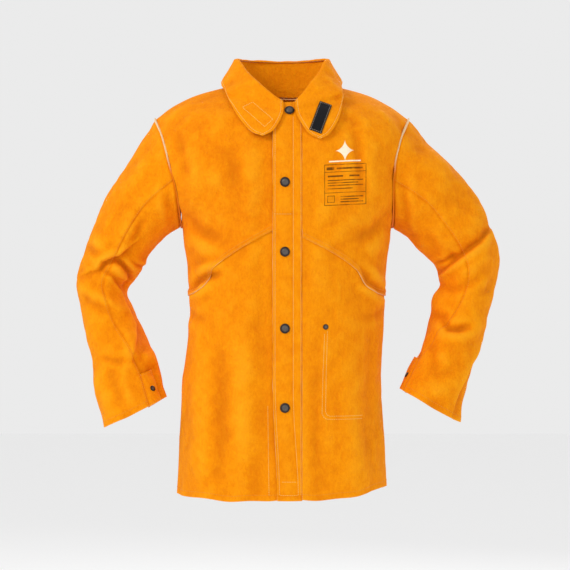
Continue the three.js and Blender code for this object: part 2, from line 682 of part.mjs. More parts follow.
const FOLD = {
  [RIGHT]: [
    [3, -100, -35],
    [-14, -99, -26],
    [-32, -93, -12],
    [-56, -72, 10],
  ],
  [LEFT]: [
    [21, -100, -35],
    [33, -97, -24],
    [46, -88, -9],
    [61, -68, 11],
  ],
};
const FOLD_SIDE = [
  [73, -38, 34],
  [79, -4, 41],
  [75, 27, 44],
  [55, 54, 45],
  [28, 67, 45],
  [0, 71, 45],
];
const CREASE = {
  [RIGHT]: { front: overNeck([2.5, -110, -46]), back: overNeck([-87, -84, -21]) },
  [LEFT]: { front: overNeck([21.5, -113, -46]), back: overNeck([96, -86, -21]) },
};
const LEAF_EDGE = [
  [98, -40, -4],
  [99, 0, 4],
  [93, 40, -3],
  [72, 76, -24],
  [40, 94, -33],
  [0, 99, -36],
];
const WING_TIP = {
  [RIGHT]: { tip: [-30, -92], back: [-84, -33], front: [[1, -58], [-14, -84]], lower: [[-47, -86], [-69, -60]] },
  [LEFT]: { tip: [60, -97], back: [98, -33], front: [[24, -58], [43, -89]], lower: [[74, -90], [90, -64]] },
};
const WING_LIFT = 7.5; // from the front to the wing's outer face
const CREASE_GAP = 0.6;

const vectors = (rows) => rows.map(overNeck);
const mirrored = (rows, side) => rows.map(([x, y, z]) => overNeck([side * x, y, z]));
const smooth = (points) => new THREE.CatmullRomCurve3(points, false, "centripetal");

function collarSide(side) {
  const fold = smooth([...vectors(FOLD[side]), ...mirrored(FOLD_SIDE, side)]);
  const { front, back } = CREASE[side];
  const edge = smooth([back, ...mirrored(LEAF_EDGE, side)]);
  const onCrease = 0.3; // the share of the leaf's lower edge that is the crease
  const lower = (t) => (t < onCrease ? front.clone().lerp(back, t / onCrease) : edge.getPoint((t - onCrease) / (1 - onCrease)));
  return { fold: (t) => fold.getPoint(t), lower };
}

const collarSides = { [RIGHT]: collarSide(RIGHT), [LEFT]: collarSide(LEFT) };

// u runs from the front end on the wearer's right, round the back, to the front end on the left.
function aroundCollar(build) {
  return (u, v) => build(u < 0.5 ? RIGHT : LEFT, 1 - Math.abs(2 * u - 1), v);
}

const leafAt = aroundCollar((side, t, v) => {
  const { fold, lower } = collarSides[side];
  const reach = lower(t).sub(fold(t)).length();
  return fold(t).lerp(lower(t), v * (1 - CREASE_GAP / reach));
});
piece("collar_leaf", sheet(leafAt, 36, 3, { thickness: FACED, turn: -1 }));

// The stand rises from the neckline to the fold, inside the leaf.
const STAND_FROM = 0.24;
const standAt = aroundCollar((side, t, v) => {
  const along = lerp(STAND_FROM, 1, t);
  const top = collarSides[side].fold(along);
  const round = Math.atan2(-top.y / (top.y < 0 ? NECK_FRONT : NECK_BACK), (side * top.x) / NECK_HALF);
  const seam = neckline(side, Math.abs(round), top.y < 0 ? FRONT : BACK);
  const foot = trunkAt(seam.x, seam.z, top.y < 0 ? FRONT : BACK);
  foot.z += 1;
  const outward = new THREE.Vector3(top.x, top.y, 0).normalize();
  return foot.lerp(top.addScaledVector(outward, -FACED - 0.7).setZ(top.z - 2), v);
});
piece("collar_stand", sheet(standAt, 32, 2, { thickness: FACED, turn: 1 }));

// ---------------------------------------------------------------- collar wings
function wingAt(side) {
  const { front, back } = CREASE[side];
  const { tip, back: heel, front: leading, lower } = WING_TIP[side];
  const flat = (list) => smooth(list.map(([x, z]) => new THREE.Vector3(x, 0, NECK_Z + z)));
  const leadingEdge = flat([[front.x, front.z - NECK_Z], ...leading, tip]);
  const lowerEdge = flat([tip, ...lower, heel]);
  return (u, v) => {
    const crease = front.clone().lerp(back, u);
    const a = leadingEdge.getPoint(v);
    const b = new THREE.Vector3(lerp(back.x, heel[0], v), 0, lerp(back.z, NECK_Z + heel[1], v));
    const low = lowerEdge.getPoint(u);
    const bilinear = new THREE.Vector3(front.x, 0, front.z)
      .lerp(new THREE.Vector3(back.x, 0, back.z), u)
      .lerp(lowerEdge.getPoint(0).lerp(lowerEdge.getPoint(1), u), v);
    const point = new THREE.Vector3(crease.x, 0, crease.z).lerp(low, v).add(a.lerp(b, u)).sub(bilinear);
    const clear = WING_LIFT / Math.max(-outwardAt(point.x, point.z).y, 0.4);
    const lying = trunkAt(point.x, point.z, FRONT).y - clear;
    const y = lerp(crease.y, lying, smoothstep(v, 0, 0.5));
    return new THREE.Vector3(point.x, y, point.z);
  };
}

for (const [side, name] of [[RIGHT, "collar_wing_right"], [LEFT, "collar_wing_left"]]) {
  const wing = wingAt(side);
  const turn = -side;
  piece(name, sheet((u, v) => wing(u, lerp(0.006, 1, v)), 8, 5, { thickness: FACED, turn }));
}

// A loop patch on the face of the left wing, and its hook patch under the right one.
const PATCH_WIDTH = 20;
const PATCH_LENGTH = 50;
const TAPE = 1.4;

function patchOn(side, centre, direction, lift) {
  const wing = wingAt(side);
  const down = new THREE.Vector2(...direction).normalize();
  const across = new THREE.Vector2(-down.y, down.x);
  // the wing's surface over x and z, found by walking its own grid
  const surfaceY = (x, z) => {
    let [u, v] = [0.5, 0.5];
    for (let step = 0; step < 12; step++) {
      const here = wing(u, v);
      const du = wing(u + 1e-3, v).sub(here).divideScalar(1e-3);
      const dv = wing(u, v + 1e-3).sub(here).divideScalar(1e-3);
      const [ex, ez] = [x - here.x, z - here.z];
      const scale = du.x * dv.z - dv.x * du.z;
      u = clamp(u + (ex * dv.z - ez * dv.x) / scale, 0.01, 0.99);
      v = clamp(v + (du.x * ez - du.z * ex) / scale, 0.01, 0.99);
    }
    return wing(u, v).y;
  };
  return (u, v) => {
    const [s, t] = [PATCH_WIDTH * (u - 0.5), PATCH_LENGTH * (v - 0.5)];
    const x = centre[0] + across.x * s + down.x * t;
    const z = centre[1] + across.y * s + down.y * t;
    const slopeX = (surfaceY(x + 1, z) - surfaceY(x - 1, z)) / 2;
    const slopeZ = (surfaceY(x, z + 1) - surfaceY(x, z - 1)) / 2;
    const out = new THREE.Vector3(slopeX, -1, slopeZ).normalize();
    return new THREE.Vector3(x, surfaceY(x, z), z).addScaledVector(out, lift);
  };
}

const loopPatch = patchOn(LEFT, [61, NECK_Z - 62.5], [-19, -52], 0.8 + TAPE);
piece("loop_patch", sheet(loopPatch, 3, 5, { thickness: TAPE, turn: -1 }), loopTape);
const hookPatch = patchOn(RIGHT, [-38, NECK_Z - 57], [33, -30], -FACED - 1);
piece("hook_patch", sheet(hookPatch, 3, 5, { thickness: TAPE, turn: -1 }), loopTape);

// ---------------------------------------------------------------- inside pocket
const pocketAt = (u, v) => {
  const z = lerp(POCKET_Z[0], POCKET_Z[1], v);
  const x = lerp(POCKET_X[0], POCKET_X[1], u) + 4 * v;
  return trunkAt(x, z, FRONT).addScaledVector(outwardAt(x, z), -POCKET_BACK);
};
const rivetBack = -POCKET_BACK - LEATHER - 0.5;
const rivet = {
  cap: lathe([
    [0, rivetBack - 1],
    [1.2, rivetBack - 1],
    [1.2, 0.5],
    [RIVET_R, 0.5],
    [RIVET_R, 1],
    [RIVET_R * 0.6, 2],
    [0, 2.3],
  ]),
  burr: lathe([
    [1.5, rivetBack - 0.7],
    [RIVET_R * 0.85, rivetBack - 0.7],
    [RIVET_R * 0.85, rivetBack],
    [1.5, rivetBack],
    [1.5, rivetBack - 0.7],
  ]),
};
piece("inside_pocket", cut(sheet(pocketAt, 6, 5), rivetHole));
setSnap("pocket_rivet", rivet, ["cap", "burr"], rivetAt, rivetOut);

// ---------------------------------------------------------------- joint axes
// Each axis is a fold line on the leather's outer face, or runs through the sleeve at the elbow. A positive
// turn opens a flap, lifts a collar wing and bends an elbow.
const placketFold = trunkAt(PLACKET_SEAM_X + SEAM_GAP / 2, WAIST_Z, FRONT);
const creaseLine = (side, from, to) => ({ at: CREASE[side].front, axis: to.clone().sub(from).normalize() });
jacket.userData.joints = {
  placket_fold: { at: placketFold, axis: new THREE.Vector3(0, 0, 1) },
  collar_crease_right: creaseLine(RIGHT, CREASE[RIGHT].front, CREASE[RIGHT].back),
  collar_crease_left: creaseLine(LEFT, CREASE[LEFT].back, CREASE[LEFT].front),
  ...sleeveJoints,
};

export default jacket;
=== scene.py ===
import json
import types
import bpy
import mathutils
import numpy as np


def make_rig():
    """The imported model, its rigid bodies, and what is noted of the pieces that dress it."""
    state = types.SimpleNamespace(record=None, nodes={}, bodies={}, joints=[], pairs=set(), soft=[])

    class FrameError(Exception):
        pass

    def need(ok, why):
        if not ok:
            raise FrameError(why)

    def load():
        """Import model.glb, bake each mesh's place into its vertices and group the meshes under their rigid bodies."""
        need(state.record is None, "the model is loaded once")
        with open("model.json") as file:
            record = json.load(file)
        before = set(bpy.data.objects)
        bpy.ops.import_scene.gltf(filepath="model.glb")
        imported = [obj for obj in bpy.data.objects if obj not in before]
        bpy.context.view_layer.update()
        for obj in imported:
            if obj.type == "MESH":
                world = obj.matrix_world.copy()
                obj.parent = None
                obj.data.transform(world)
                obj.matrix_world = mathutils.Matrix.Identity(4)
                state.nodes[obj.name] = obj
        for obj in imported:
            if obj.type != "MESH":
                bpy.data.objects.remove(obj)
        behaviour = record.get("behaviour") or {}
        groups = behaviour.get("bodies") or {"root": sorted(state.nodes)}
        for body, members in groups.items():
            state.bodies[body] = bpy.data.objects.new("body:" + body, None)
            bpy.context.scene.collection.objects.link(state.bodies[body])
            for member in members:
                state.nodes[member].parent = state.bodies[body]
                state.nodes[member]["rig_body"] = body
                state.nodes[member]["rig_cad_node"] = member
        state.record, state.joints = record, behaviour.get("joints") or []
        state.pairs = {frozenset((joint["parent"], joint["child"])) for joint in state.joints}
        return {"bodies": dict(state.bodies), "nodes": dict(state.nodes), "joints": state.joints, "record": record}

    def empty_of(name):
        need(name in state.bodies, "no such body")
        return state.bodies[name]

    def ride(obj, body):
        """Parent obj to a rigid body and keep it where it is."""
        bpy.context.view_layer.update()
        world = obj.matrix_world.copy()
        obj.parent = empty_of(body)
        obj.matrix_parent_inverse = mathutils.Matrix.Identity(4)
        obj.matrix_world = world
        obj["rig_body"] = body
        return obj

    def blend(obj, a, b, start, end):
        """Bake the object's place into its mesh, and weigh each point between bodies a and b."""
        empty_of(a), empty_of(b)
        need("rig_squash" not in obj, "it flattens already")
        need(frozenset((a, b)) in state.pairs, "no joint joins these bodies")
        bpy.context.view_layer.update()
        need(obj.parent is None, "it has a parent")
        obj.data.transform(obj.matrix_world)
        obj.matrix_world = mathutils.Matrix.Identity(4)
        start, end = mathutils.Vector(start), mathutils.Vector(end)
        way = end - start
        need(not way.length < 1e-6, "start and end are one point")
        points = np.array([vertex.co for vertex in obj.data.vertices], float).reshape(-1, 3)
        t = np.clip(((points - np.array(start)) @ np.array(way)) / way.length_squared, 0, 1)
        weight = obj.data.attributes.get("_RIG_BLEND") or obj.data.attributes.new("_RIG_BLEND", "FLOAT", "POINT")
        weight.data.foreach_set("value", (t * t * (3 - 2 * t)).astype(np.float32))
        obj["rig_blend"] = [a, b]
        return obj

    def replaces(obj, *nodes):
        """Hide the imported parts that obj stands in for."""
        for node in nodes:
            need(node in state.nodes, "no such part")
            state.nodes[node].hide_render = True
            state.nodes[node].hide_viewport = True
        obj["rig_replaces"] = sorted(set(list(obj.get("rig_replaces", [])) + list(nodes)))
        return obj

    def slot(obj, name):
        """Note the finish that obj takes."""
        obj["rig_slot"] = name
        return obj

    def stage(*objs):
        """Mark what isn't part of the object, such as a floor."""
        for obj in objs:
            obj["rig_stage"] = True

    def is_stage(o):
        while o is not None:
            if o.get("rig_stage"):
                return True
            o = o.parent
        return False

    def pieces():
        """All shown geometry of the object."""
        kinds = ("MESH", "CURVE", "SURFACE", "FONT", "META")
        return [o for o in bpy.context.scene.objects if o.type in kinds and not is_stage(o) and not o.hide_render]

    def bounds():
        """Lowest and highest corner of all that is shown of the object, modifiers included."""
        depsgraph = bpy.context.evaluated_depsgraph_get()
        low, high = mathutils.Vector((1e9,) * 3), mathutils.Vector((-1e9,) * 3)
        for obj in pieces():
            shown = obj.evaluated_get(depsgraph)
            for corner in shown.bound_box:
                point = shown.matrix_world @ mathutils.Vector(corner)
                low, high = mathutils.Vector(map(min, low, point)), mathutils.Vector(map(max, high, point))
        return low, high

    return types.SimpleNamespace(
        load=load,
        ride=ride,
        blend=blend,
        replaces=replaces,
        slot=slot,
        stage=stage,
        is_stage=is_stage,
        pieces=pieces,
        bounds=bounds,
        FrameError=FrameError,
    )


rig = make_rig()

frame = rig.load()
cad_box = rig.bounds()

import json

import bmesh
import bpy
import numpy as np

# ------------------------------------------------------------ camera, light and floor
# The jacket is seen from straight in front at the height of its waist, in an even white light
# with a soft shade down each side, over a plain pale floor.
MID_JACKET = (0, 0, 0.35)
FLOOR_Z, FLOOR_REACH = -0.62, 9


def in_scene(name, held):
    """An object at the origin that holds a camera, a lamp or a mesh, linked to the scene."""
    made = bpy.data.objects.new(name, held)
    bpy.context.scene.collection.objects.link(made)
    return made


def looking_from(x, y, z, lens):
    """A level camera that looks along +Y from a place in metres, with a lens in millimetres."""
    camera = in_scene("camera", bpy.data.cameras.new("camera"))
    camera.location = (x, y, z)
    camera.rotation_euler = (np.pi / 2, 0, 0)
    camera.data.lens = lens
    camera.data.sensor_width = 36
    bpy.context.scene.camera = camera


def soft_light(name, place, size, power):
    """A square of light turned towards MID_JACKET: first up or down, then round the upright axis."""
    lamp = bpy.data.lights.new(name, "AREA")
    lamp.shape = "SQUARE"
    lamp.size = size
    lamp.energy = power
    light = in_scene(name, lamp)
    light.location = place
    way = np.array(MID_JACKET) - np.array(place)
    flat = np.hypot(way[0], way[1])
    light.rotation_euler = (np.pi / 2 + np.arctan2(way[2], flat), 0, np.arctan2(-way[0], way[1]))


looking_from(0.005, -3.06, 0.338, 118.5)
bpy.context.scene.view_settings.view_transform = "Standard"
soft_light("key", (-1.9, -1.7, 2.0), 0.8, 33)
soft_light("fill", (1.9, -2.2, 0.7), 1.6, 6)
soft_light("back", (0.9, 2.2, 1.8), 1.2, 34)

white_room = bpy.data.worlds.new("white room")
white_room.use_nodes = True
daylight = white_room.node_tree.nodes["Background"]
daylight.inputs["Color"].default_value = (1, 1, 1, 1)
daylight.inputs["Strength"].default_value = 0.83
bpy.context.scene.world = white_room

floor_mesh = bpy.data.meshes.new("floor")
floor_corners = [(x * FLOOR_REACH, y * FLOOR_REACH, FLOOR_Z) for x, y in ((-1, -1), (1, -1), (1, 1), (-1, 1))]
floor_mesh.from_pydata(floor_corners, [], [(0, 1, 2, 3)])
floor = in_scene("floor", floor_mesh)
pale_paint = bpy.data.materials.new("pale floor")
pale_paint.use_nodes = True
paint = pale_paint.node_tree.nodes["Principled BSDF"]
paint.inputs["Base Color"].default_value = (0.97, 0.97, 0.97, 1)
paint.inputs["Roughness"].default_value = 0.9
floor_mesh.materials.append(pale_paint)
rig.stage(floor)


# ------------------------------------------------------------ the suede
# Split cowhide, brushed to a nap and dyed a golden orange. The dye takes unevenly, the raised folds rub
# pale, painted shade darkens the hollows, and the cut edges show the pale tan inside of the hide.
class Shade:
    """A node socket that takes part in arithmetic. Each operator adds the Math node that does it."""

    def __init__(self, tree, socket):
        self.tree, self.socket = tree, socket

    def math(self, operation, *others):
        """One Math node, with this socket first and the others, sockets or numbers, after it."""
        node = self.tree.nodes.new("ShaderNodeMath")
        node.operation = operation
        for place, value in enumerate((self, *others)):
            if isinstance(value, Shade):
                self.tree.links.new(value.socket, node.inputs[place])
            else:
                node.inputs[place].default_value = value
        return Shade(self.tree, node.outputs[0])

    def __add__(self, other):
        return self.math("ADD", other)

    def __sub__(self, other):
        return self.math("SUBTRACT", other)

    def __rsub__(self, other):
        return (self.math("MULTIPLY", -1)).math("ADD", other)

    def __mul__(self, other):
        return self.math("MULTIPLY", other)

    def __abs__(self):
        return self.math("ABSOLUTE")

    def over(self, edge, soft):
        """0 below edge, 1 above it, changing over soft."""
        return ((self - (edge - soft / 2)) * (1 / soft)).math("MAXIMUM", 0).math("MINIMUM", 1)

    def under(self, edge, soft):
        """1 below edge, 0 above it, changing over soft."""
        return 1 - self.over(edge, soft)


class Finish:
    """A node material under one Principled shader."""

    def __init__(self, name, rough, metal=0.0, **fixed):
        self.material = bpy.data.materials.new(name)
        self.material.use_nodes = True
        self.tree = self.material.node_tree
        self.skin = self.tree.nodes["Principled BSDF"]
        self.skin.inputs["Roughness"].default_value = rough
        self.skin.inputs["Metallic"].default_value = metal
        for socket, value in fixed.items():
            self.skin.inputs[socket.replace("_", " ")].default_value = value

    def node(self, kind, settings=None, **sockets):
        """Any other node: its type, then its settings, then its sockets' values or links."""
        made = self.tree.nodes.new(kind)
        for name, value in (settings or {}).items():
            setattr(made, name, value)
        for name, value in sockets.items():
            socket = made.inputs[name.replace("_", " ")]
            if isinstance(value, Shade):
                self.tree.links.new(value.socket, socket)
            else:
                socket.default_value = value
        return made

    def out(self, made, name):
        return Shade(self.tree, made.outputs[name])

    def place(self):
        """Object coordinates, in metres."""
        return self.out(self.node("ShaderNodeTexCoord"), "Object")

    def axes(self):
        """The three object coordinates, each as a number."""
        parts = self.node("ShaderNodeSeparateXYZ", Vector=self.place())
        return [self.out(parts, axis) for axis in "XYZ"]

    def stretched(self, scale):
        """Object coordinates times a scale for each axis."""
        return self.out(self.node("ShaderNodeMapping", Vector=self.place(), Scale=scale), "Vector")

    def noise(self, scale, detail=3.0, rough=0.55, vector=None):
        made = self.node(
            "ShaderNodeTexNoise", Vector=vector or self.place(), Scale=scale, Detail=detail, Roughness=rough
        )
        return self.out(made, "Fac")

    def attribute(self, name):
        """A value that the mesh holds at each of its points."""
        return self.out(self.node("ShaderNodeAttribute", {"attribute_name": name}), "Fac")

    def mix(self, factor, a, b):
        """Colour a where the factor is 0, colour b where it is 1."""
        made = self.node("ShaderNodeMix", {"data_type": "RGBA"})
        for place, value in ((0, factor), (6, a), (7, b)):
            if isinstance(value, Shade):
                self.tree.links.new(value.socket, made.inputs[place])
            else:
                made.inputs[place].default_value = value if place == 0 else (*value, 1)
        return Shade(self.tree, made.outputs[2])

    def feed(self, socket, value):
        self.tree.links.new(value.socket, self.skin.inputs[socket])

    def bump(self, height, distance, strength):
        made = self.node("ShaderNodeBump", Height=height, Distance=distance, Strength=strength)
        self.feed("Normal", self.out(made, "Normal"))


SUEDE_DEEP = (0.80, 0.200, 0.001)
SUEDE_GOLD = (0.95, 0.330, 0.002)
SUEDE_PALE = (1.0, 0.46, 0.02)
# Painted shade for the hollows: a deep brown-orange.
SUEDE_CREASE_SHADE = (0.46, 0.10, 0.001)
SHEEN_GOLD = (1, 0.55, 0.12, 1)
HIDE_EDGE, HIDE_FIBRE = (0.86, 0.56, 0.27), (0.78, 0.40, 0.12)


def suede(name, depth=0.0, ink=None):
    """Dyed nap: clouds of dye 30 to 120 mm across, mottles of 5 to 15 mm, and a streaky nap of 1 mm, with painted
    shade in the hollows and rubbed pale on the ridges by the crease attribute. depth darkens the whole piece."""
    made = Finish(
        name, 0.9, Sheen_Weight=0.10, Sheen_Roughness=0.5, Sheen_Tint=SHEEN_GOLD, Specular_IOR_Level=0.06
    )
    clouds = made.noise(11, 3, 0.5).over(0.5, 0.42)
    mottle = made.noise(85, 4, 0.62).over(0.5, 0.5)
    grain = made.noise(260, 4, 0.7, made.stretched((1, 1, 0.6)))
    nap = made.noise(700, 3, 0.65, made.stretched((1, 1, 0.45)))
    fluff = made.noise(1700, 2, 0.6)
    crease = made.attribute("crease")
    edge = made.attribute("edge")
    light = clouds * 0.24 + mottle * 0.26 + grain.over(0.5, 0.32) * 0.46 + nap.over(0.5, 0.4) * 0.26 - depth
    light = (light + crease.over(0, 2.4) * 0.5 - 0.36).math("MAXIMUM", 0).math("MINIMUM", 1)
    colour = made.mix(light, SUEDE_DEEP, SUEDE_GOLD)
    colour = made.mix(crease.over(1.5, 3.0) * 0.4 + edge * 0.22, colour, SUEDE_PALE)
    # Painted shade: where the crease attribute sinks below about -1.8 mm, the colour goes halfway to a deep
    # brown-orange.
    colour = made.mix(crease.under(-1.8, 3.2) * 0.5, colour, SUEDE_CREASE_SHADE)
    if ink:
        colour = ink(made, colour, mottle)
    made.feed("Base Color", colour)
    made.feed("Roughness", nap * 0.12 + 0.84)
    made.bump(grain * 1.3 + nap * 0.6 + fluff * 0.3 + mottle * 1.2, 0.0012, 0.8)
    return made.material


def cut_edge():
    """The pale inside of the hide, with its fibres showing."""
    made = Finish("cut edge", 0.95, Sheen_Weight=0.2, Specular_IOR_Level=0.1)
    fibres = made.noise(900, 3, 0.7)
    made.feed("Base Color", made.mix(fibres.over(0.5, 0.5), HIDE_FIBRE, HIDE_EDGE))
    made.bump(fibres, 0.0006, 0.6)
    return made.material


golden_suede = suede("golden suede")
# A darker copy of the suede, used on the right chest panel.
darker_suede = suede("golden suede, deeper dye", 0.16)
raw_edge = cut_edge()


# ------------------------------------------------------------ the trunk's form
# Four chest panels, two lower fronts and one lower back, all of one layer of hide 1.6 mm thick. They follow
# the wearer's body: a squared oval at each height, rolled over the shoulders. Sizes here are in millimetres.
HIDE = 1.6
FACED = 3.2
LEFT, RIGHT = 1, -1
FRONT, BACK = -1, 1


def smooth(value, start, end):
    """0 before start, 1 after end, and 3t^2 - 2t^3 between."""
    t = np.clip((value - start) / (end - start), 0, 1)
    return t * t * (3 - 2 * t)


def mix(a, b, t):
    """a where t is 0, b where t is 1, and straight between."""
    return a + (b - a) * t


def profile(stations):
    """A cubic through (position, value) stations that never swings past them, level beyond the ends."""
    at, value = np.array(stations, float).T
    slopes = np.diff(value) / np.diff(at)
    before, after = np.r_[slopes[:1], slopes], np.r_[slopes, slopes[-1:]]
    total = np.where(before + after == 0, 1, before + after)
    tangents = np.where(before * after <= 0, 0, 2 * before * after / total)

    def reading(position):
        here = np.clip(position, at[0], at[-1])
        n = np.clip(np.searchsorted(at, here) - 1, 0, len(slopes) - 1)
        width = at[n + 1] - at[n]
        t = (here - at[n]) / width
        rise = (value[n + 1] - value[n]) * t * t * (3 - 2 * t)
        return value[n] + rise + width * t * (1 - t) * (tangents[n] * (1 - t) - tangents[n + 1] * t)

    return reading


SHOULDER_ROLL, SECTION_POWER = 70, 2.4
HEM_HALF, ARMPIT_Z, SHOULDER_Z = 171, 430, 608
SIDE_SEAM_X, SIDE_SEAM_Z = 158, 328  # where the slanting seam meets the side seam
NECK_HALF, NECK_DEPTH = 74, {FRONT: 94, BACK: 64}  # the upright oval tube round the neck, front and back
half_width = profile(
    [(0, HEM_HALF), (190, 161), (300, 158), (ARMPIT_Z, 170), (492.3, 196.25), (554.6, 209), (SHOULDER_Z, 217)]
)
lean = profile([(190, 0), (300, 8), (430, 8), (536.8, 0)])
front_depth = profile([(0, 127), (190, 130), (530, 130), (598, 111), (640, 88), (700, 42)])
back_depth = profile([(0, 110), (300, 99), (501.2, 112), (608, 96), (664, 68)])
shoulder_ridge = profile([(0, 682), (74, 664), (132.95, 648.88), (172.25, 630.4), (205, 608)])
armhole_x = profile([(ARMPIT_Z, 170), (474.5, 171), (527.9, 178), (572.4, 189.25), (SHOULDER_Z, 205)])
seam_height = profile([(0, 438), (32, 421), (110, 370), (130, 342), (SIDE_SEAM_X, SIDE_SEAM_Z)])


def half_width_at(side, z):
    """The trunk's half width at a height, plus its lean to the wearer's left."""
    return half_width(z) + side * lean(z)


def drop_at(x, z):
    """The angle rolled down from the shoulder's ridge, which runs on straight down after a quarter turn."""
    fall = shoulder_ridge(np.abs(x)) - z
    rolled = np.arccos(np.clip(1 - np.maximum(fall, 0) / SHOULDER_ROLL, -1, 1))
    return np.where(fall < SHOULDER_ROLL, rolled, np.pi / 2 - 1 + fall / SHOULDER_ROLL)


def height_at(x, drop):
    """The height at a roll angle: the ridge less roll * (1 - cos), and less roll * angle past a quarter
    turn."""
    turn = np.minimum(drop, np.pi / 2)
    return shoulder_ridge(np.abs(x)) - SHOULDER_ROLL * (1 - np.cos(turn) + drop - turn)


def section(side, share, z, drop, face):
    """share^p + (y / depth)^p = 1, times the sine of the roll near the shoulder."""
    squared = (1 - np.minimum(share, 1) ** SECTION_POWER) ** (1 / SECTION_POWER)
    depth = front_depth(z) if face == FRONT else back_depth(z)
    y = face * depth * squared * np.sin(np.minimum(drop, np.pi / 2))
    return np.stack([side * share * half_width_at(side, z), y, z + 0 * y], -1)


def trunk(side, share, drop, face):
    """The trunk's surface at a share of its half width and a roll angle. Width and height depend on each
    other, so they are found by turns."""
    z = ARMPIT_Z + 0 * share
    for _ in range(8):
        z = height_at(share * half_width_at(side, z), drop)
    return section(side, share, z, drop, face)


def trunk_at(x, z, face):
    """The trunk's surface at a place in the front view."""
    side = np.where(x < 0, RIGHT, LEFT)
    return section(side, np.abs(x) / half_width_at(side, z), z, drop_at(x, z), face)


def neckline(side, angle, face):
    """Where the body's surface meets an upright oval tube round the neck, found by halving."""
    x = side * NECK_HALF * np.cos(angle)
    wanted = NECK_DEPTH[face] * np.sin(angle)
    low, high = 0 * x, 2.2 + 0 * x
    for _ in range(30):
        middle = (low + high) / 2
        inside = np.abs(trunk_at(x, height_at(x, middle), face)[..., 1]) < wanted
        low, high = np.where(inside, middle, low), np.where(inside, high, middle)
    return x, low, height_at(x, low)


def armhole(side, angle):
    """A loop on the trunk: its height goes as the cosine of the angle, down the front and up behind."""
    z = mix(ARMPIT_Z, SHOULDER_Z, (1 + np.cos(angle)) / 2)
    x = side * (armhole_x(z) + side * lean(z))
    front = trunk_at(x, z, FRONT)
    return np.where((np.sin(angle) >= 0)[..., None], front, trunk_at(x, z, BACK))


def wander(points, size, seed, count=14):
    """Soft random swell between about -1 and 1: a sum of sines in random directions, each about size long."""
    pick = np.random.default_rng(seed)
    ways = pick.normal(size=(count, 3))
    lengths = np.linalg.norm(ways, axis=1, keepdims=True)
    ways *= (2 * np.pi / size) * pick.uniform(0.6, 1.5, (count, 1)) / lengths
    shift = pick.uniform(0, 2 * np.pi, count)
    return sum(np.sin(points @ way + phase) for way, phase in zip(ways, shift)) / np.sqrt(count) * 0.9


def along_line(points, line):
    """How far each point lies to the left of a bent line in the front view, and how far along the line it is,
    as a share of its length."""
    line = np.array(line, float)
    pieces = np.diff(line, axis=0)
    lengths = np.linalg.norm(pieces, axis=1)
    starts = np.r_[0, np.cumsum(lengths)]
    best = np.full(points.shape[:-1], 1e9)
    offset, share = 0 * best, 0 * best
    for start, piece, length, before in zip(line, pieces, lengths, starts):
        dx, dz = points[..., 0] - start[0], points[..., 2] - start[1]
        t = np.clip((dx * piece[0] + dz * piece[1]) / length**2, 0, 1)
        away = np.hypot(dx - t * piece[0], dz - t * piece[1])
        side = np.sign(piece[0] * dz - piece[1] * dx + 1e-9)
        near = away < best
        best = np.where(near, away, best)
        offset = np.where(near, away * side, offset)
        share = np.where(near, (before + t * length) / starts[-1], share)
    return offset, share


def furrow(points, line, width, deep, lip=0.45):
    """A valley along the line with a soft roll either side, fading at both ends."""
    offset, share = along_line(points, line)
    fade = np.sin(np.pi * np.clip(share, 0.02, 0.98)) ** 0.6
    valley = np.exp(-((offset / width) ** 2))
    rolls = np.exp(-(((np.abs(offset) - 2.1 * width) / (1.5 * width)) ** 2))
    return deep * fade * (lip * rolls - valley)


def ridge(points, line, width, high):
    """A rounded crest along the line, exp(-(offset / width)^2), fading at both ends."""
    offset, share = along_line(points, line)
    return high * np.sin(np.pi * np.clip(share, 0.02, 0.98)) ** 0.7 * np.exp(-((offset / width) ** 2))


def overhang(points, line, width, high, low):
    """A fold that lies over its neighbour: full on the line's left, dropping steeply to a hollow on its
    right."""
    offset, share = along_line(points, line)
    fade = np.sin(np.pi * np.clip(share, 0.02, 0.98)) ** 0.5
    over = smooth(offset, -0.35 * width, 0.35 * width)
    roll = high * np.exp(-((np.maximum(offset, 0) / (2.6 * width)) ** 1.5))
    hollow = low * np.exp(-((np.maximum(-offset, 0) / (1.5 * width)) ** 1.5))
    return fade * (over * roll - (1 - over) * hollow)


def facing(grid, turn):
    """Unit normals of a grid of points, from its rows and columns, turned to the outside."""
    down, along = np.gradient(grid, axis=0), np.gradient(grid, axis=1)
    normal = np.cross(along, down) * turn
    return normal / np.maximum(np.linalg.norm(normal, axis=-1, keepdims=True), 1e-12)


def reach(grid):
    """Distances in mm along the grid from its left, right, bottom and top edges."""
    along = np.linalg.norm(np.diff(grid, axis=1), axis=-1)
    up = np.linalg.norm(np.diff(grid, axis=0), axis=-1)
    left = np.concatenate([np.zeros((len(grid), 1)), np.cumsum(along, 1)], 1)
    low = np.concatenate([np.zeros((1, grid.shape[1])), np.cumsum(up, 0)], 0)
    return left, left[:, -1:] - left, low, low[-1:] - low


def blurred(field, times):
    """Each value becomes the mean of its four neighbours, times over."""
    for _ in range(times):
        padded = np.pad(field, 1, mode="edge")
        field = (padded[:-2, 1:-1] + padded[2:, 1:-1] + padded[1:-1, :-2] + padded[1:-1, 2:]) / 4
    return field


BLUR_TIMES = 30


def panel(surface, columns, rows, turn, relief, lifts=None, spans=(0, 1, 0, 1), cut=()):
    """A piece's outer surface as a grid: the surface function, moved out along its normal by
    relief(points, edges). It also keeps how far each point stands above its surroundings, for the finish."""
    u, v = np.meshgrid(np.linspace(*spans[:2], columns + 1), np.linspace(*spans[2:], rows + 1))
    base = surface(u, v)
    normal = facing(base, turn)
    edges = reach(base)
    height = relief(base, edges)
    grid = base + normal * height[..., None]
    plain = height - (lifts(base, edges) if lifts else 0)
    stand = plain - blurred(plain, BLUR_TIMES)
    return {"grid": grid, "edges": edges, "cut": cut, "turn": turn, "stand": stand}


def sewn_edge(distance, deep=1.3, width=2.6):
    """Leather pulled down into a seam: -deep * exp(-(distance / width)^2)."""
    return -deep * np.exp(-((distance / width) ** 2))


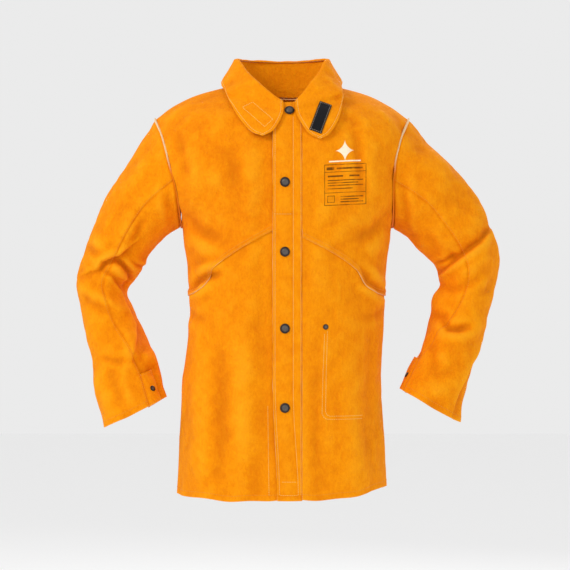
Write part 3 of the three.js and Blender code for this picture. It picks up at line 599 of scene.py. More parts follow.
def mesh_of(name, points, corners, sizes):
    """A smooth mesh of points in mm: the faces' corners in one row, and how many corners each face has."""
    mesh = bpy.data.meshes.new(name)
    mesh.vertices.add(len(points))
    mesh.vertices.foreach_set("co", (points * 0.001).ravel().astype(np.float32))
    mesh.loops.add(len(corners))
    mesh.loops.foreach_set("vertex_index", corners.astype(np.int32))
    mesh.polygons.add(len(sizes))
    mesh.polygons.foreach_set("loop_start", (np.cumsum(sizes) - sizes).astype(np.int32))
    mesh.polygons.foreach_set("loop_total", sizes.astype(np.int32))
    mesh.update(calc_edges=True)
    mesh.polygons.foreach_set("use_smooth", np.ones(len(sizes), bool))
    return mesh


def faced_out(mesh, weld=0.0):
    """Joins points that lie closer than weld, in metres, and turns every face outward."""
    form = bmesh.new()
    form.from_mesh(mesh)
    if weld:
        bmesh.ops.remove_doubles(form, verts=form.verts, dist=weld)
    bmesh.ops.recalc_face_normals(form, faces=form.faces)
    form.to_mesh(mesh)
    form.free()
    mesh.polygons.foreach_set("use_smooth", np.ones(len(mesh.polygons), bool))


def point_values(mesh, name, values):
    """A number at each point, for the finish to read by its name."""
    mesh.attributes.new(name, "FLOAT", "POINT").data.foreach_set("value", values.ravel().astype(np.float32))


EDGE_WEAR = 2.2  # how far the nap is worn in from a cut edge


def leather(name, made, thick, skin=None, edge=None):
    """A closed sheet: the grid, the same grid moved in by its thickness, and walls of cut edge round it."""
    grid = made["grid"]
    rows, columns = grid.shape[0] - 1, grid.shape[1] - 1
    inner = grid - facing(grid, made["turn"]) * thick
    points = np.concatenate([grid.reshape(-1, 3), inner.reshape(-1, 3)])
    number = np.arange(grid[..., 0].size).reshape(rows + 1, columns + 1)
    back = number + number.size
    face = np.stack([number[:-1, :-1], number[:-1, 1:], number[1:, 1:], number[1:, :-1]], -1).reshape(-1, 4)
    behind = np.stack([back[:-1, :-1], back[1:, :-1], back[1:, 1:], back[:-1, 1:]], -1).reshape(-1, 4)
    rim = np.concatenate([number[0, :-1], number[:-1, -1], number[-1, :0:-1], number[:0:-1, 0]])
    onward = np.roll(rim, -1)
    wall = np.stack([onward, rim, rim + number.size, onward + number.size], -1)
    faces = np.concatenate([face, behind, wall])
    if made["turn"] < 0:
        faces = faces[:, ::-1]
    mesh = mesh_of(name, points, faces.ravel(), np.full(len(faces), 4))
    kind = np.zeros(len(faces), np.int32)
    kind[len(face) + len(behind) :] = 1
    mesh.polygons.foreach_set("material_index", kind)
    ends = np.empty(len(mesh.edges) * 2, np.int32)
    mesh.edges.foreach_get("vertices", ends)
    ends = ends.reshape(-1, 2)
    on_rim = np.zeros(len(points), bool)
    on_rim[np.concatenate([rim, rim + number.size])] = True
    same = (ends[:, 0] < number.size) == (ends[:, 1] < number.size)
    row_of = (ends % number.size) // (columns + 1)
    column_of = (ends % number.size) % (columns + 1)
    border = ((row_of[:, 0] == row_of[:, 1]) & np.isin(row_of[:, 0], (0, rows))) | (
        (column_of[:, 0] == column_of[:, 1]) & np.isin(column_of[:, 0], (0, columns))
    )
    sharp = on_rim[ends].all(1) & same & border
    mesh.attributes.new("sharp_edge", "BOOLEAN", "EDGE").data.foreach_set("value", sharp)
    worn = sum((np.exp(-((made["edges"][n] / EDGE_WEAR) ** 2)) for n in made["cut"]), 0 * made["stand"])
    point_values(mesh, "crease", np.stack([made["stand"], made["stand"]]))
    point_values(mesh, "edge", np.stack([worn, worn]))
    mesh.materials.append(skin or golden_suede)
    mesh.materials.append(edge or raw_edge)
    return in_scene(name, mesh)


def spread(u, power):
    """1 - (1 - u)^power: columns crowd towards the side seam, where the oval turns fastest."""
    return 1 - np.clip(1 - u, 0, None) ** power


def hem_height(x):
    """The hem rises towards the wearer's left, and waves a little."""
    return 12 * smooth(x, 50, HEM_HALF) + 1.6 * np.sin(x / 27 + 0.8) + 1.0 * np.sin(x / 11)


def cross_seam(side, face, inner, share):
    """The seam between an upper and a lower panel: slanting in front, level behind."""
    z = seam_height(mix(inner, SIDE_SEAM_X, share)) if face == FRONT else SIDE_SEAM_Z + 0 * share
    return side * mix(inner, half_width_at(side, z), share), z


def lower_panel(side, face, inner):
    """Rows rise from the hem to the cross seam, columns run from the middle to the side seam."""

    def surface(u, v):
        share = spread(u, SECTION_POWER)
        hem = hem_height(side * mix(inner, HEM_HALF, share))
        z = mix(hem, cross_seam(side, face, inner, share)[1], v)
        return trunk_at(side * mix(inner, half_width_at(side, z), share), z, face)

    return surface


def upper_panel(side, face, inner):
    """Rows run from the middle and the neckline out to the side seam and the armhole."""
    from_angle = np.arccos(inner / NECK_HALF)
    start_z = neckline(side, np.array(from_angle), face)[2]
    armpit_row, neck_row = 5 / 14, 0.7

    def place(x, z):
        """A place in the front view, as its share of the half width and its roll angle."""
        s = np.where(x < 0, RIGHT, LEFT)
        return np.abs(x) / half_width_at(s, z), drop_at(x, z)

    def middle(v):
        """Up the front's inner edge to the neckline, then round the neckline to the shoulder."""
        seam_z = cross_seam(side, face, inner, 0 * v)[1]
        z = mix(seam_z, start_z, v / neck_row)
        low = place(side * inner + 0 * v, z)
        angle = from_angle * (1 - np.maximum(v - neck_row, 0) / (1 - neck_row))
        x, drop, neck_z = neckline(side, angle, face)
        high = np.abs(x) / half_width_at(side, neck_z), drop
        return [np.where(v < neck_row, a, b) for a, b in zip(low, high)]

    def outside(v):
        """Up the side seam to the armpit, then round the armhole to the shoulder."""
        z = mix(SIDE_SEAM_Z, ARMPIT_Z, v / armpit_row)
        low = place(side * half_width_at(side, z), z)
        angle = np.pi * (1 - np.maximum(v - armpit_row, 0) / (1 - armpit_row))
        hole = armhole(side, angle * (1 if face == FRONT else -1))
        high = place(hole[..., 0], hole[..., 2])
        return [np.where(v < armpit_row, a, b) for a, b in zip(low, high)]

    def surface(u, v):
        """Straight mixes between the two edges, eased at the foot so that the first row follows the seam."""
        row = v[:, :1]
        across = spread(u, mix(SECTION_POWER, 1, smooth(v, armpit_row, armpit_row + 0.3)))
        inside, out = middle(row), outside(row)
        level = spread(u, SECTION_POWER)
        seam = place(*cross_seam(side, face, inner, level))
        first, last = middle(0 * row[:1]), outside(0 * row[:1])
        fade = (1 - v) ** 3
        share, drop = [
            mix(inside[k], out[k], across) + fade * (seam[k] - mix(first[k], last[k], level)) for k in (0, 1)
        ]
        return trunk(side, share, drop, face)

    return surface


UNDERLAP_DEPTH, RIGHT_FRONT_DEPTH = 7.6, 5.4  # the faced edge, and the right front that lies over it


def dip_under_flap(points):
    """The right front drops behind the flap before it reaches it."""
    return -RIGHT_FRONT_DEPTH * smooth(points[..., 0], -58, -24) + 0 * points[..., 2]


CHEST_FOLDS = [
    (furrow, [(110, 604), (119, 560), (124, 512), (132, 470)], 9, 3.2),
    (furrow, [(-168, 590), (-158, 545), (-148, 500)], 12, 2.6),
    (ridge, [(-150, 560), (-138, 500), (-140, 450)], 16, 3.0),
    (furrow, [(-158, 452), (-128, 424), (-92, 410)], 11, 3.0),
    (ridge, [(-150, 415), (-120, 392), (-84, 384)], 13, 2.4),
    (furrow, [(172, 458), (150, 428), (118, 408)], 11, 3.2),
    (ridge, [(168, 432), (150, 400), (120, 385)], 12, 2.4),
    (ridge, [(-50, 560), (-42, 500), (-46, 440)], 22, 2.2),
    (furrow, [(-80, 560), (-78, 500), (-90, 450)], 18, 1.8),
    (ridge, [(60, 560), (58, 480), (70, 430)], 20, 1.6),
]
SEAM_PUCKERS = [
    (furrow, [(-152, 322), (-132, 344), (-117, 352), (-96, 356)], 6, 4.4),
    (ridge, [(-140, 360), (-112, 366), (-90, 374)], 8, 3.2),
    (ridge, [(-150, 318), (-128, 326), (-104, 334)], 9, 3.4),
    (furrow, [(172, 316), (152, 332), (137, 342), (128, 362)], 6, 4.6),
    (ridge, [(160, 344), (146, 356), (136, 372)], 7, 3.0),
    (ridge, [(164, 306), (142, 322), (118, 338)], 9, 3.2),
    (furrow, [(166, 300), (150, 290), (128, 286)], 9, 2.4),
    (furrow, [(-154, 300), (-140, 288), (-118, 282)], 9, 2.2),
]
LOWER_FOLDS = [
    (ridge, [(-128, 300), (-120, 200), (-128, 60), (-126, -10)], 17, 3.4),
    (furrow, [(-92, 300), (-96, 200), (-98, 60), (-92, -10)], 17, 2.8),
    (ridge, [(-58, 300), (-64, 180), (-60, 60), (-58, -10)], 17, 2.4),
    (furrow, [(60, 300), (48, 200), (52, 60), (56, -10)], 15, 2.2),
    (ridge, [(112, 300), (106, 180), (112, 60), (118, -10)], 20, 3.0),
    (furrow, [(146, 280), (138, 160), (146, 50), (152, -10)], 13, 3.0),
    (furrow, [(-150, 250), (-150, 130), (-158, 30)], 12, 2.6),
    (ridge, [(80, 330), (92, 290), (120, 268)], 13, 2.0),
]
BACK_FOLDS = [
    (ridge, [(-120, 300), (-112, 180), (-120, 50), (-124, -10)], 20, 4.0),
    (furrow, [(-74, 300), (-78, 180), (-76, 50), (-70, -10)], 18, 3.4),
    (ridge, [(-24, 300), (-30, 180), (-22, 50), (-24, -10)], 22, 3.6),
    (furrow, [(30, 300), (24, 180), (32, 50), (30, -10)], 18, 3.0),
    (ridge, [(82, 300), (80, 180), (84, 50), (88, -10)], 20, 3.8),
    (furrow, [(132, 300), (128, 180), (136, 50), (140, -10)], 14, 3.4),
    (furrow, [(-150, 452), (-110, 430), (-60, 424)], 12, 3.6),
    (furrow, [(166, 456), (120, 430), (66, 424)], 12, 3.6),
    (ridge, [(-140, 520), (-90, 500), (-40, 506)], 20, 3.0),
    (ridge, [(150, 520), (96, 502), (44, 506)], 20, 3.0),
    (furrow, [(-120, 348), (-60, 356), (0, 350), (70, 358), (130, 350)], 12, 3.4),
    (ridge, [(-130, 372), (-60, 380), (0, 374), (70, 382), (140, 372)], 14, 2.8),
]


def folds(points, table):
    """The heights of all the folds in a table, added up."""
    return sum(shape(points, line, *sizes) for shape, line, *sizes in table)


def supple(points):
    """The unevenness of a supple hide: slow swells with smaller dimples on them."""
    return 1.5 * wander(points, 120, 3) + 0.75 * wander(points, 46, 5) + 0.30 * wander(points, 17, 8, 20)


def trunk_relief(face):
    """Folds, a waved hem and a supple hide. They die out at the side seams, by the flap and on the
    shoulders."""

    def relief(points, edges):
        clear_of_side = smooth(np.abs(points[..., 1]), 4, 40)
        flat_by_flap = 1 - 0.85 * np.exp(-(((points[..., 0] - 8) / 40) ** 4)) if face == FRONT else 1
        shaped = CHEST_FOLDS + SEAM_PUCKERS + LOWER_FOLDS if face == FRONT else BACK_FOLDS
        flare = 2.5 * smooth(points[..., 2], 120, 0) * np.sin(points[..., 0] / 19 + 1.2)
        top = 1 - smooth(points[..., 2], 596, 640)
        own = (1.15 * folds(points, shaped) + flare) * clear_of_side * flat_by_flap * top
        loose = (1 - 0.6 * smooth(points[..., 2], 600, 650)) * (0.35 + 0.65 * clear_of_side) * flat_by_flap
        return own + supple(points) * loose

    return relief


def undipped(points):
    """The other panels have nothing to drop behind."""
    return 0


LAP, LAP_LIFT = 8, 2.3  # how far an upper panel lies over the lower one, and how far it is lifted there


def inside(value, low, high, soft):
    """1 between low and high, 0 outside them."""
    return value.over(low, soft) * value.under(high, soft)


def printed(made, colour, mottle):
    """A plain printed frame ruled in bands, with a plain four-pointed spark and a bar above it, worn by the
    nap. The spark is the inside of |x|^0.62 + |z|^0.62 = 1."""
    x, _, z = [axis * 1000 for axis in made.axes()]
    slope = z - x * 0.06 + 4.0

    def box(left, right, low, high):
        return inside(x, left, right, 0.6) * inside(slope, low, high, 0.6)

    frame_box, frame_hole = box(66.5, 133, 461.5, 526), box(67.6, 131.9, 462.6, 524.9)
    rules = [inside(slope, level, level + 0.9, 0.5) for level in (513.5, 481)]
    bars = [
        box(left, right, level, level + thick)
        for level, thick, left, right in (
            (517, 4.6, 70, 82), (518, 2.6, 86, 127), (506, 2.6, 72, 96), (506, 2.6, 106, 122),
            (500, 1.6, 72, 128), (496, 1.6, 72, 120), (492, 1.6, 72, 128), (487, 1.6, 72, 112),
            (466, 11, 71, 83), (474, 1.8, 92, 128), (470, 1.8, 92, 121), (466, 1.8, 92, 128),
        )
    ]
    block_holes = box(72, 82, 467, 476)
    ink = frame_box * (1 - frame_hole) + sum(rules[1:], rules[0]) * frame_hole
    ink = ink + sum(bars[1:], bars[0]) * frame_hole * (1 - block_holes * 0.85)
    worn = mottle.over(0.38, 0.3) * 0.45 + 0.45
    colour = made.mix(ink.math("MINIMUM", 1) * worn, colour, (0.12, 0.040, 0.004))
    from_x, from_z = abs(x - 99) * (1 / 15), abs(slope - 547) * (1 / 17)
    spark = (from_x.math("POWER", 0.62) + from_z.math("POWER", 0.62)).under(1.0, 0.05)
    bar = box(74, 124, 529.5, 531.5)
    pale = (spark + bar).math("MINIMUM", 1) * (mottle.over(0.3, 0.25) * 0.25 + 0.72)
    return made.mix(pale, colour, (1.0, 0.88, 0.66))


printed_suede = suede("golden suede, printed", 0.0, printed)
chests = {}
for name, side, face, inner in (
    ("front_right", RIGHT, FRONT, 4.0),
    ("front_left", LEFT, FRONT, 32.15),
    ("back_right", RIGHT, BACK, 0.0),
    ("back_left", LEFT, BACK, 0.0),
):
    turn = -side * face
    body_relief = trunk_relief(face)
    dipped = dip_under_flap if name == "front_right" else undipped

    def upper_lift(points, edges):
        """The lap over the lower panel stands up by LAP_LIFT."""
        return LAP_LIFT * (1 - smooth(edges[2], LAP, LAP + 5)) + dipped(points)

    def upper_relief(points, edges):
        side_seam = sewn_edge(np.where(points[..., 2] < 432, edges[1], 99))
        centre_seam = sewn_edge(edges[0]) if face == BACK else 0
        shoulder_seam = sewn_edge(edges[3], 1.0)
        seams = side_seam + centre_seam + shoulder_seam
        return body_relief(points, edges) + seams + upper_lift(points, edges)

    spans = (0, 1, -LAP / 300, 1)
    made = panel(upper_panel(side, face, inner), 84, 136, turn, upper_relief, upper_lift, spans, (2,))
    skin = {"front_left": printed_suede, "front_right": darker_suede}.get(name)
    piece = leather(name + "_chest" if face == FRONT else name + "_yoke", made, HIDE, skin)
    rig.ride(piece, "jacket_body")
    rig.replaces(piece, name + "_upper")
    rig.slot(piece, "suede")
    chests[name] = made

lower_fronts = {}
for name, side, inner in (("front_right", RIGHT, 4.0), ("front_left", LEFT, 32.15)):
    body_relief = trunk_relief(FRONT)
    dipped = dip_under_flap if side == RIGHT else undipped

    def lower_lift(points, edges):
        return dipped(points)

    def lower_relief(points, edges):
        return body_relief(points, edges) + sewn_edge(edges[1]) + dipped(points)

    made = panel(lower_panel(side, FRONT, inner), 96, 168, side, lower_relief, lower_lift, cut=(2,))
    lower_fronts[side] = made
    piece = leather(name + "_skirt", made, HIDE)
    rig.ride(piece, "jacket_body")
    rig.replaces(piece, name + "_lower")
    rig.slot(piece, "suede")

halves = {side: lower_panel(side, BACK, 0) for side in (RIGHT, LEFT)}


def whole_back(u, v):
    """The two halves side by side, as one hide from side seam to side seam."""
    across = 2 * u - 1
    right, left = [halves[side](np.abs(across), v) for side in (RIGHT, LEFT)]
    return np.where((across < 0)[..., None], right, left)


back_relief = trunk_relief(BACK)


def back_skirt_relief(points, edges):
    """The back's folds, pulled down into both side seams."""
    return back_relief(points, edges) + sewn_edge(edges[0]) + sewn_edge(edges[1])


lower_back = panel(whole_back, 190, 126, -1, back_skirt_relief, cut=(2,))
piece = leather("back_skirt", lower_back, HIDE)
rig.ride(piece, "jacket_body")
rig.replaces(piece, "back_lower")
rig.slot(piece, "suede")


# ------------------------------------------------------------ the front closure
# The right front's faced edge lies under the flap, and the flap is the left front's own faced edge: two
# layers of hide sewn flat. The flap folds open about its seam below the breastbone, and stays shut above it.
UNDERLAP = (-28, 28)
FLAP = (-14, 32)
SNAP_PLACES = [(5, 146), (5, 270), (5, 390), (5, 499), (12, 613)]


def outward_at(x, z, face=FRONT):
    """The trunk's unit normal at a place in the front view, from points 2 mm either way."""
    across = trunk_at(x + 2, z, face) - trunk_at(x - 2, z, face)
    up = trunk_at(x, z + 2, face) - trunk_at(x, z - 2, face)
    out = np.cross(across, up) * -face
    return out / np.linalg.norm(out, axis=-1, keepdims=True)


def strip(from_x, to_x, depth, drift=0.0):
    """A band of the front from the hem to the neckline, a depth behind the trunk's surface. Its first edge
    drifts inward towards the hem."""

    def surface(u, v):
        x = mix(from_x, to_x, u)
        top = neckline(LEFT, np.arccos(np.clip(x / NECK_HALF, -1, 1)), FRONT)[2]
        z = top * (1 - (1 - v) ** 1.15)
        x = x + drift * (1 - u) * smooth(z, 190, 0)
        return trunk_at(x, z, FRONT) - depth * outward_at(x, z)

    return surface


def near_snaps(points):
    """1 at the middle of a snap, falling as exp(-(distance / 15)^2)."""
    away = [(points[..., 0] - x) ** 2 + (points[..., 2] - z) ** 2 for x, z in SNAP_PLACES]
    return sum(np.exp(-(squared / 15**2)) for squared in away)


def flap_relief(points, edges):
    """A padded swell between the stitch rows, pressed flat round the snaps, with a valley along each row."""
    x, z = points[..., 0], points[..., 2]
    row = 17 + 8 * smooth(z, 170, 0)
    swell = 0.8 * wander(points, 90, 21) + 0.35 * wander(points, 30, 22)
    pillow = 0.7 * np.exp(-(((x - (row - 14)) / 9) ** 2))
    sewn = sewn_edge(x - row, 0.7, 1.8) + sewn_edge(edges[0] - 3.5, 0.6, 1.6) + sewn_edge(edges[1], 1.3, 2.4)
    across = -0.9 * np.exp(-(((z - 449) / 2.4) ** 2)) - 0.6 * np.exp(-(((z - 8) / 2) ** 2))
    return (swell + pillow) * (1 - np.clip(near_snaps(points), 0, 1)) + sewn + across


def faced_edge_relief(points, edges):
    """Two sewn layers lie nearly flat, with swells of half a millimetre."""
    return 0.5 * wander(points, 80, 24)


front_edge = panel(strip(*UNDERLAP, UNDERLAP_DEPTH), 22, 250, 1, faced_edge_relief)
piece = leather("right_front_faced_edge", front_edge, FACED)
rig.ride(piece, "jacket_body")
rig.replaces(piece, "right_front_edge")
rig.slot(piece, "suede")

flap = panel(strip(*FLAP, 0, 7), 24, 280, 1, flap_relief, cut=(0, 2))
flap_start, flap_end = (0.032, -0.125, 0.590), (0.032, -0.125, 0.515)
piece = leather("front_flap", flap, FACED)
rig.blend(piece, "jacket_body", "placket_flap", flap_start, flap_end)
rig.replaces(piece, "placket_lower", "placket_upper")
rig.slot(piece, "suede")


# ------------------------------------------------------------ the snaps
# Pressed caps of blackened brass, with a rolled rim, a groove and a low dome that is grey towards its middle.
# Each is riveted through the flap to its socket, and presses onto the stud on the layer below.
def gunmetal_finish():
    """Near-black lacquer, grey towards the middle of the dome, and rubbed to grey in scuffs of about a millimetre."""
    made = Finish("gunmetal", 0.4, 0.85)
    ring = made.attribute("ring")
    scuffs = made.noise(900, 4, 0.7)
    # Grey towards the middle of the dome by the ring attribute, and grey in scuffs.
    grey_dome_and_scuffs = (ring.under(0.62, 0.3) * 0.55 + scuffs.over(0.56, 0.2) * 0.45).math("MINIMUM", 1)
    made.feed("Base Color", made.mix(grey_dome_and_scuffs, (0.016, 0.012, 0.010), (0.17, 0.15, 0.14)))
    made.feed("Roughness", scuffs * 0.35 + 0.25)
    made.bump(scuffs, 0.0002, 0.35)
    return made.material


gunmetal = gunmetal_finish()


def lattice(name, grid, material, around, closed_up=False):
    """A mesh from a grid of points, in mm, joined round its columns and, if closed_up, round its rows."""
    rows, columns = grid.shape[:2]
    number = np.arange(rows * columns).reshape(rows, columns)
    right = np.roll(number, -1, 1)
    up, up_right = np.roll(number, -1, 0), np.roll(right, -1, 0)
    last_row = rows if closed_up else rows - 1
    last_column = columns if around else columns - 1
    corners = [part[:last_row, :last_column] for part in (number, right, up_right, up)]
    faces = np.stack(corners, -1).reshape(-1, 4)
    mesh = mesh_of(name, grid.reshape(-1, 3), faces.ravel(), np.full(len(faces), 4))
    faced_out(mesh, 1e-6)
    mesh.materials.append(material)
    return in_scene(name, mesh)


SNAP_CAP_R, CUFF_CAP_R, RIVET_R = 7.75, 4.7, 4.4
CAP = [
    (0, 0.35), (0.86, 0.35), (0.97, 0.5), (1.0, 0.8), (1.0, 1.15), (0.975, 1.5), (0.93, 1.85), (0.86, 2.15),
    (0.79, 2.3), (0.73, 2.28), (0.69, 2.1), (0.65, 1.98), (0.60, 2.05), (0.54, 2.35), (0.42, 2.65),
    (0.25, 2.85), (0, 2.92),
]


def turned(outline, radius, at, normal, sides=40):
    """An outline of (share of the radius, height on a full-sized cap) turned about the normal."""
    outline = np.array(outline)
    tall = radius / SNAP_CAP_R
    side_way = np.cross(normal, (0.0, 0.3, 1.0))
    side_way = side_way / np.linalg.norm(side_way)
    other = np.cross(normal, side_way)
    turn = np.linspace(0, 2 * np.pi, sides, endpoint=False)
    spoke = np.cos(turn)[:, None] * side_way + np.sin(turn)[:, None] * other
    return at + outline[:, :1, None] * radius * spoke + (outline[:, 1] * tall)[:, None, None] * normal


def snap_cap(name, body, node, at, normal, radius, outline=CAP):
    """A turned cap that knows, at each point, its distance from the axis as a share of the radius."""
    piece = lattice(name, turned(outline, radius, at, normal), gunmetal, True)
    away = np.array([v.co for v in piece.data.vertices]) * 1000 - at
    flat = away - (away @ normal)[:, None] * normal
    point_values(piece.data, "ring", np.linalg.norm(flat, axis=1) / radius)
    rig.ride(piece, body)
    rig.replaces(piece, node)
    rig.slot(piece, "gunmetal")


for n, (x, z) in enumerate(SNAP_PLACES, 1):
    at, normal = trunk_at(np.array(x), np.array(z), FRONT), outward_at(np.array(x), np.array(z))
    body = "placket_flap" if n < 5 else "jacket_body"
    snap_cap(f"snap_cap_{n}", body, f"snap_{n}_cap", at + normal * 0.2, normal, SNAP_CAP_R)


# ------------------------------------------------------------ the sleeves
# Each sleeve is a top piece and an under piece of hide, sewn in two long seams, front and back. The hands are
# on the hips, so the hide doubles over itself inside the elbow and the forearm turns in.
WELT_ROOM = 2.8
FRONT_SEAM, BACK_SEAM = np.radians(100), np.radians(260)
CUFF_SEAM = {RIGHT: np.radians(122), LEFT: np.radians(156)}
FLAP_SWEEP, FLAP_FROM, CUFF_DIP = np.radians(32), 0.875, 6.0
ELBOW_BEND = (0.44, 0.61)
SLEEVE_LENGTH = 560
# A station is its share of the length, the outer edge's x and z, the inner edge's x and z, then y and depth.
SLEEVES = {
    RIGHT: [
        (0.0, 205, SHOULDER_Z, 162, ARMPIT_Z, 0, 80), (0.12, 238, 556, 188, 420, 2, 72),
        (0.28, 284, 482, 214, 394, 6, 62), (0.42, 318, 408, 238, 354, 12, 56),
        (0.52, 336, 348, 254, 332, 15, 54), (0.62, 328, 298, 244, 300, 11, 54),
        (0.78, 310, 216, 216, 240, -8, 52), (1.0, 286, 109, 186, 158, -42, 49),
    ],
    LEFT: [
        (0.0, 205, SHOULDER_Z, 178, ARMPIT_Z, 0, 80), (0.12, 242, 566, 204, 420, 2, 72),
        (0.28, 298, 508, 232, 388, 6, 62), (0.42, 338, 436, 256, 358, 12, 56),
        (0.52, 354, 380, 262, 340, 15, 54), (0.62, 347, 326, 250, 304, 11, 54),
        (0.78, 322, 244, 234, 256, -8, 52), (1.0, 285, 118, 189, 172, -42, 49),
    ],
}


def sleeve_form(side):
    """An oval ring at each station from the armhole to the cuff, its first ring drawn out to the armhole."""
    channels = [profile([(row[0], row[column]) for row in SLEEVES[side]]) for column in range(1, 7)]

    def ring(along, angle):
        """The outer and inner edge mixed by (1 + cos(angle)) / 2, and depth * sin(angle) towards the front."""
        outer_x, outer_z, inner_x, inner_z, y, depth = [channel(along) for channel in channels]
        share = (1 + np.cos(angle)) / 2
        x, z = side * mix(inner_x, outer_x, share), mix(inner_z, outer_z, share)
        return np.stack([x, y - depth * np.sin(angle), z], -1)

    def form(along, angle):
        """The rings, with what parts the first one from the armhole taken up over a fifth of the length."""
        head = armhole(side, angle) + np.array([side * WELT_ROOM, 0, 0])
        return ring(along, angle) + (head - ring(0 * along, angle)) * (1 - smooth(along, 0, 0.2))[..., None]

    return form


def swell(points, centre, radii, high):
    """A rounded bulge, or with a negative height a dent, round a place in the front view."""
    x, z = (points[..., 0] - centre[0]) / radii[0], (points[..., 2] - centre[1]) / radii[1]
    return high * np.exp(-(x * x + z * z))


SLEEVE_FOLDS = {
    RIGHT: [
        (overhang, [(-306, 360), (-295, 364), (-288, 375), (-278, 380), (-262, 385), (-243, 400)],
         9, 5.5, 8.0),
        (furrow, [(-271, 381), (-256, 370), (-247, 358), (-245, 343), (-254, 336)], 4.5, 8.5, 0.3),
        (swell, (-266, 360), (13, 15), 6.0),
        (furrow, [(-243, 378), (-236, 371), (-222, 368)], 3.0, 2.6),
        (overhang, [(-237, 232), (-234, 255), (-236, 274), (-244, 288), (-253, 308), (-261, 330),
                    (-275, 351), (-292, 360)], 9, 4.6, 4.2),
        (ridge, [(-331, 338), (-312, 327), (-288, 314), (-269, 301), (-250, 288)], 9, 4.4),
        (furrow, [(-330, 326), (-306, 309), (-282, 297), (-262, 284)], 10, 3.2, 0.2),
        (furrow, [(-296, 224), (-262, 216), (-219, 217)], 6, 2.2),
        (ridge, [(-259, 280), (-250, 256), (-244, 222), (-246, 190)], 11, 3.4),
        (furrow, [(-228, 268), (-222, 240), (-226, 206)], 9, 3.2),
        (ridge, [(-300, 206), (-282, 160), (-264, 122)], 12, 2.8),
        (furrow, [(-280, 214), (-262, 170), (-250, 140)], 11, 2.6),
        (furrow, [(-238, 178), (-226, 168), (-214, 166)], 6, 2.6),
        (ridge, [(-240, 462), (-250, 436), (-268, 400)], 15, 4.6),
        (furrow, [(-222, 450), (-232, 420), (-246, 402)], 8, 3.4),
        (furrow, [(-318, 402), (-302, 392), (-290, 384)], 9, 3.4),
        (ridge, [(-318, 420), (-300, 408), (-276, 398)], 12, 3.0),
        (furrow, [(-196, 590), (-206, 556), (-204, 520)], 15, 2.6),
        (ridge, [(-222, 560), (-232, 520), (-250, 480)], 20, 3.2),
        (furrow, [(-172, 520), (-178, 480), (-170, 448)], 9, 4.0),
        (ridge, [(-186, 500), (-192, 462), (-186, 430)], 10, 3.2),
        (swell, (-224, 372), (12, 9), 4.5),
        (swell, (-250, 339), (10, 8), -3.5),
        (swell, (-240, 306), (14, 12), 3.2),
        (swell, (-206, 220), (14, 14), 3.5),
        (swell, (-211, 198), (10, 8), -3.0),
    ],
    LEFT: [
        (overhang, [(340, 430), (322, 407), (301, 391), (280, 375), (262, 359), (252, 350)], 9, 7.5, 8.0),
        (swell, (273, 381), (10, 9), -4.0),
        (furrow, [(244, 371), (262, 375), (277, 386)], 3.2, 2.8),
        (swell, (249, 320), (18, 25), 11.0),
        (swell, (259, 288), (14, 8), -4.5),
        (furrow, [(258, 284), (268, 268), (284, 267), (304, 273)], 6.5, 6.0),
        (ridge, [(262, 256), (280, 254), (302, 262), (324, 280)], 9, 3.4),
        (furrow, [(262, 331), (285, 334), (311, 347), (332, 362)], 9, 3.0),
        (furrow, [(316, 322), (334, 330), (346, 352)], 9, 4.0),
        (ridge, [(290, 352), (312, 370), (334, 392)], 11, 4.0),
        (overhang, [(276, 140), (284, 166), (300, 200), (318, 232), (332, 262), (340, 290)], 9, 4.0, 5.0),
        (furrow, [(240, 248), (238, 226), (246, 200)], 10, 3.0),
        (ridge, [(214, 222), (244, 222), (262, 234)], 11, 3.0),
        (furrow, [(226, 200), (256, 196), (280, 206)], 11, 2.4),
        (ridge, [(222, 178), (250, 168), (272, 172)], 12, 2.4),
        (furrow, [(214, 592), (226, 556), (222, 520)], 15, 2.4),
        (ridge, [(240, 560), (256, 516), (280, 470)], 20, 3.4),
        (furrow, [(264, 520), (286, 480), (300, 450)], 15, 2.6),
        (ridge, [(306, 490), (320, 452), (330, 424)], 13, 3.0),
        (furrow, [(180, 520), (192, 480), (200, 440)], 10, 4.2),
        (ridge, [(198, 500), (208, 460), (214, 420)], 11, 3.0),
        (furrow, [(226, 430), (242, 404), (250, 384)], 9, 3.0),
    ],
}
SLEEVE_BACK_FOLDS = {
    side: [
        (furrow, [(side * 200, 560), (side * 236, 520), (side * 286, 500)], 13, 3.2),
        (ridge, [(side * 192, 520), (side * 240, 484), (side * 296, 470)], 14, 3.4),
        (furrow, [(side * 190, 470), (side * 250, 440), (side * 312, 436)], 12, 3.6),
        (ridge, [(side * 226, 420), (side * 280, 396), (side * 330, 408)], 13, 4.2),
        (furrow, [(side * 236, 380), (side * 290, 364), (side * 340, 376)], 11, 4.4),
        (ridge, [(side * 250, 350), (side * 296, 336), (side * 342, 352)], 12, 4.2),
        (furrow, [(side * 244, 322), (side * 296, 306), (side * 338, 318)], 11, 3.8),
        (ridge, [(side * 240, 290), (side * 288, 268), (side * 330, 284)], 14, 3.0),
        (ridge, [(side * 286, 250), (side * 270, 200), (side * 250, 140)], 15, 3.2),
        (furrow, [(side * 250, 240), (side * 236, 200), (side * 222, 160)], 14, 2.8),
    ]
    for side in (RIGHT, LEFT)
}


def sleeve_relief(side, points, angle, along):
    """Folds of the front view on the front and folds of the back view behind. They fade at the armhole, and
    lie quiet under the cuff's flap."""
    front = smooth(np.sin(angle), -0.25, 0.25)
    shaped = folds(points, SLEEVE_FOLDS[side]) * front + folds(points, SLEEVE_BACK_FOLDS[side]) * (1 - front)
    cuff = 1.6 * smooth(along, 0.93, 1.0) * np.sin(3 * angle + 0.8 * side)
    loose = 1.0 * wander(points, 75, 31) * smooth(along, 0.03, 0.12)
    by_tab = 1 - 0.9 * np.exp(-(((angle - CUFF_SEAM[side]) / 0.5) ** 4)) * smooth(along, 0.80, 0.87)
    moved = (shaped + loose) * smooth(along, 0.0, 0.10) + supple(points) + cuff
    return moved * by_tab + sewn_edge(along * SLEEVE_LENGTH, 1.5, 4)


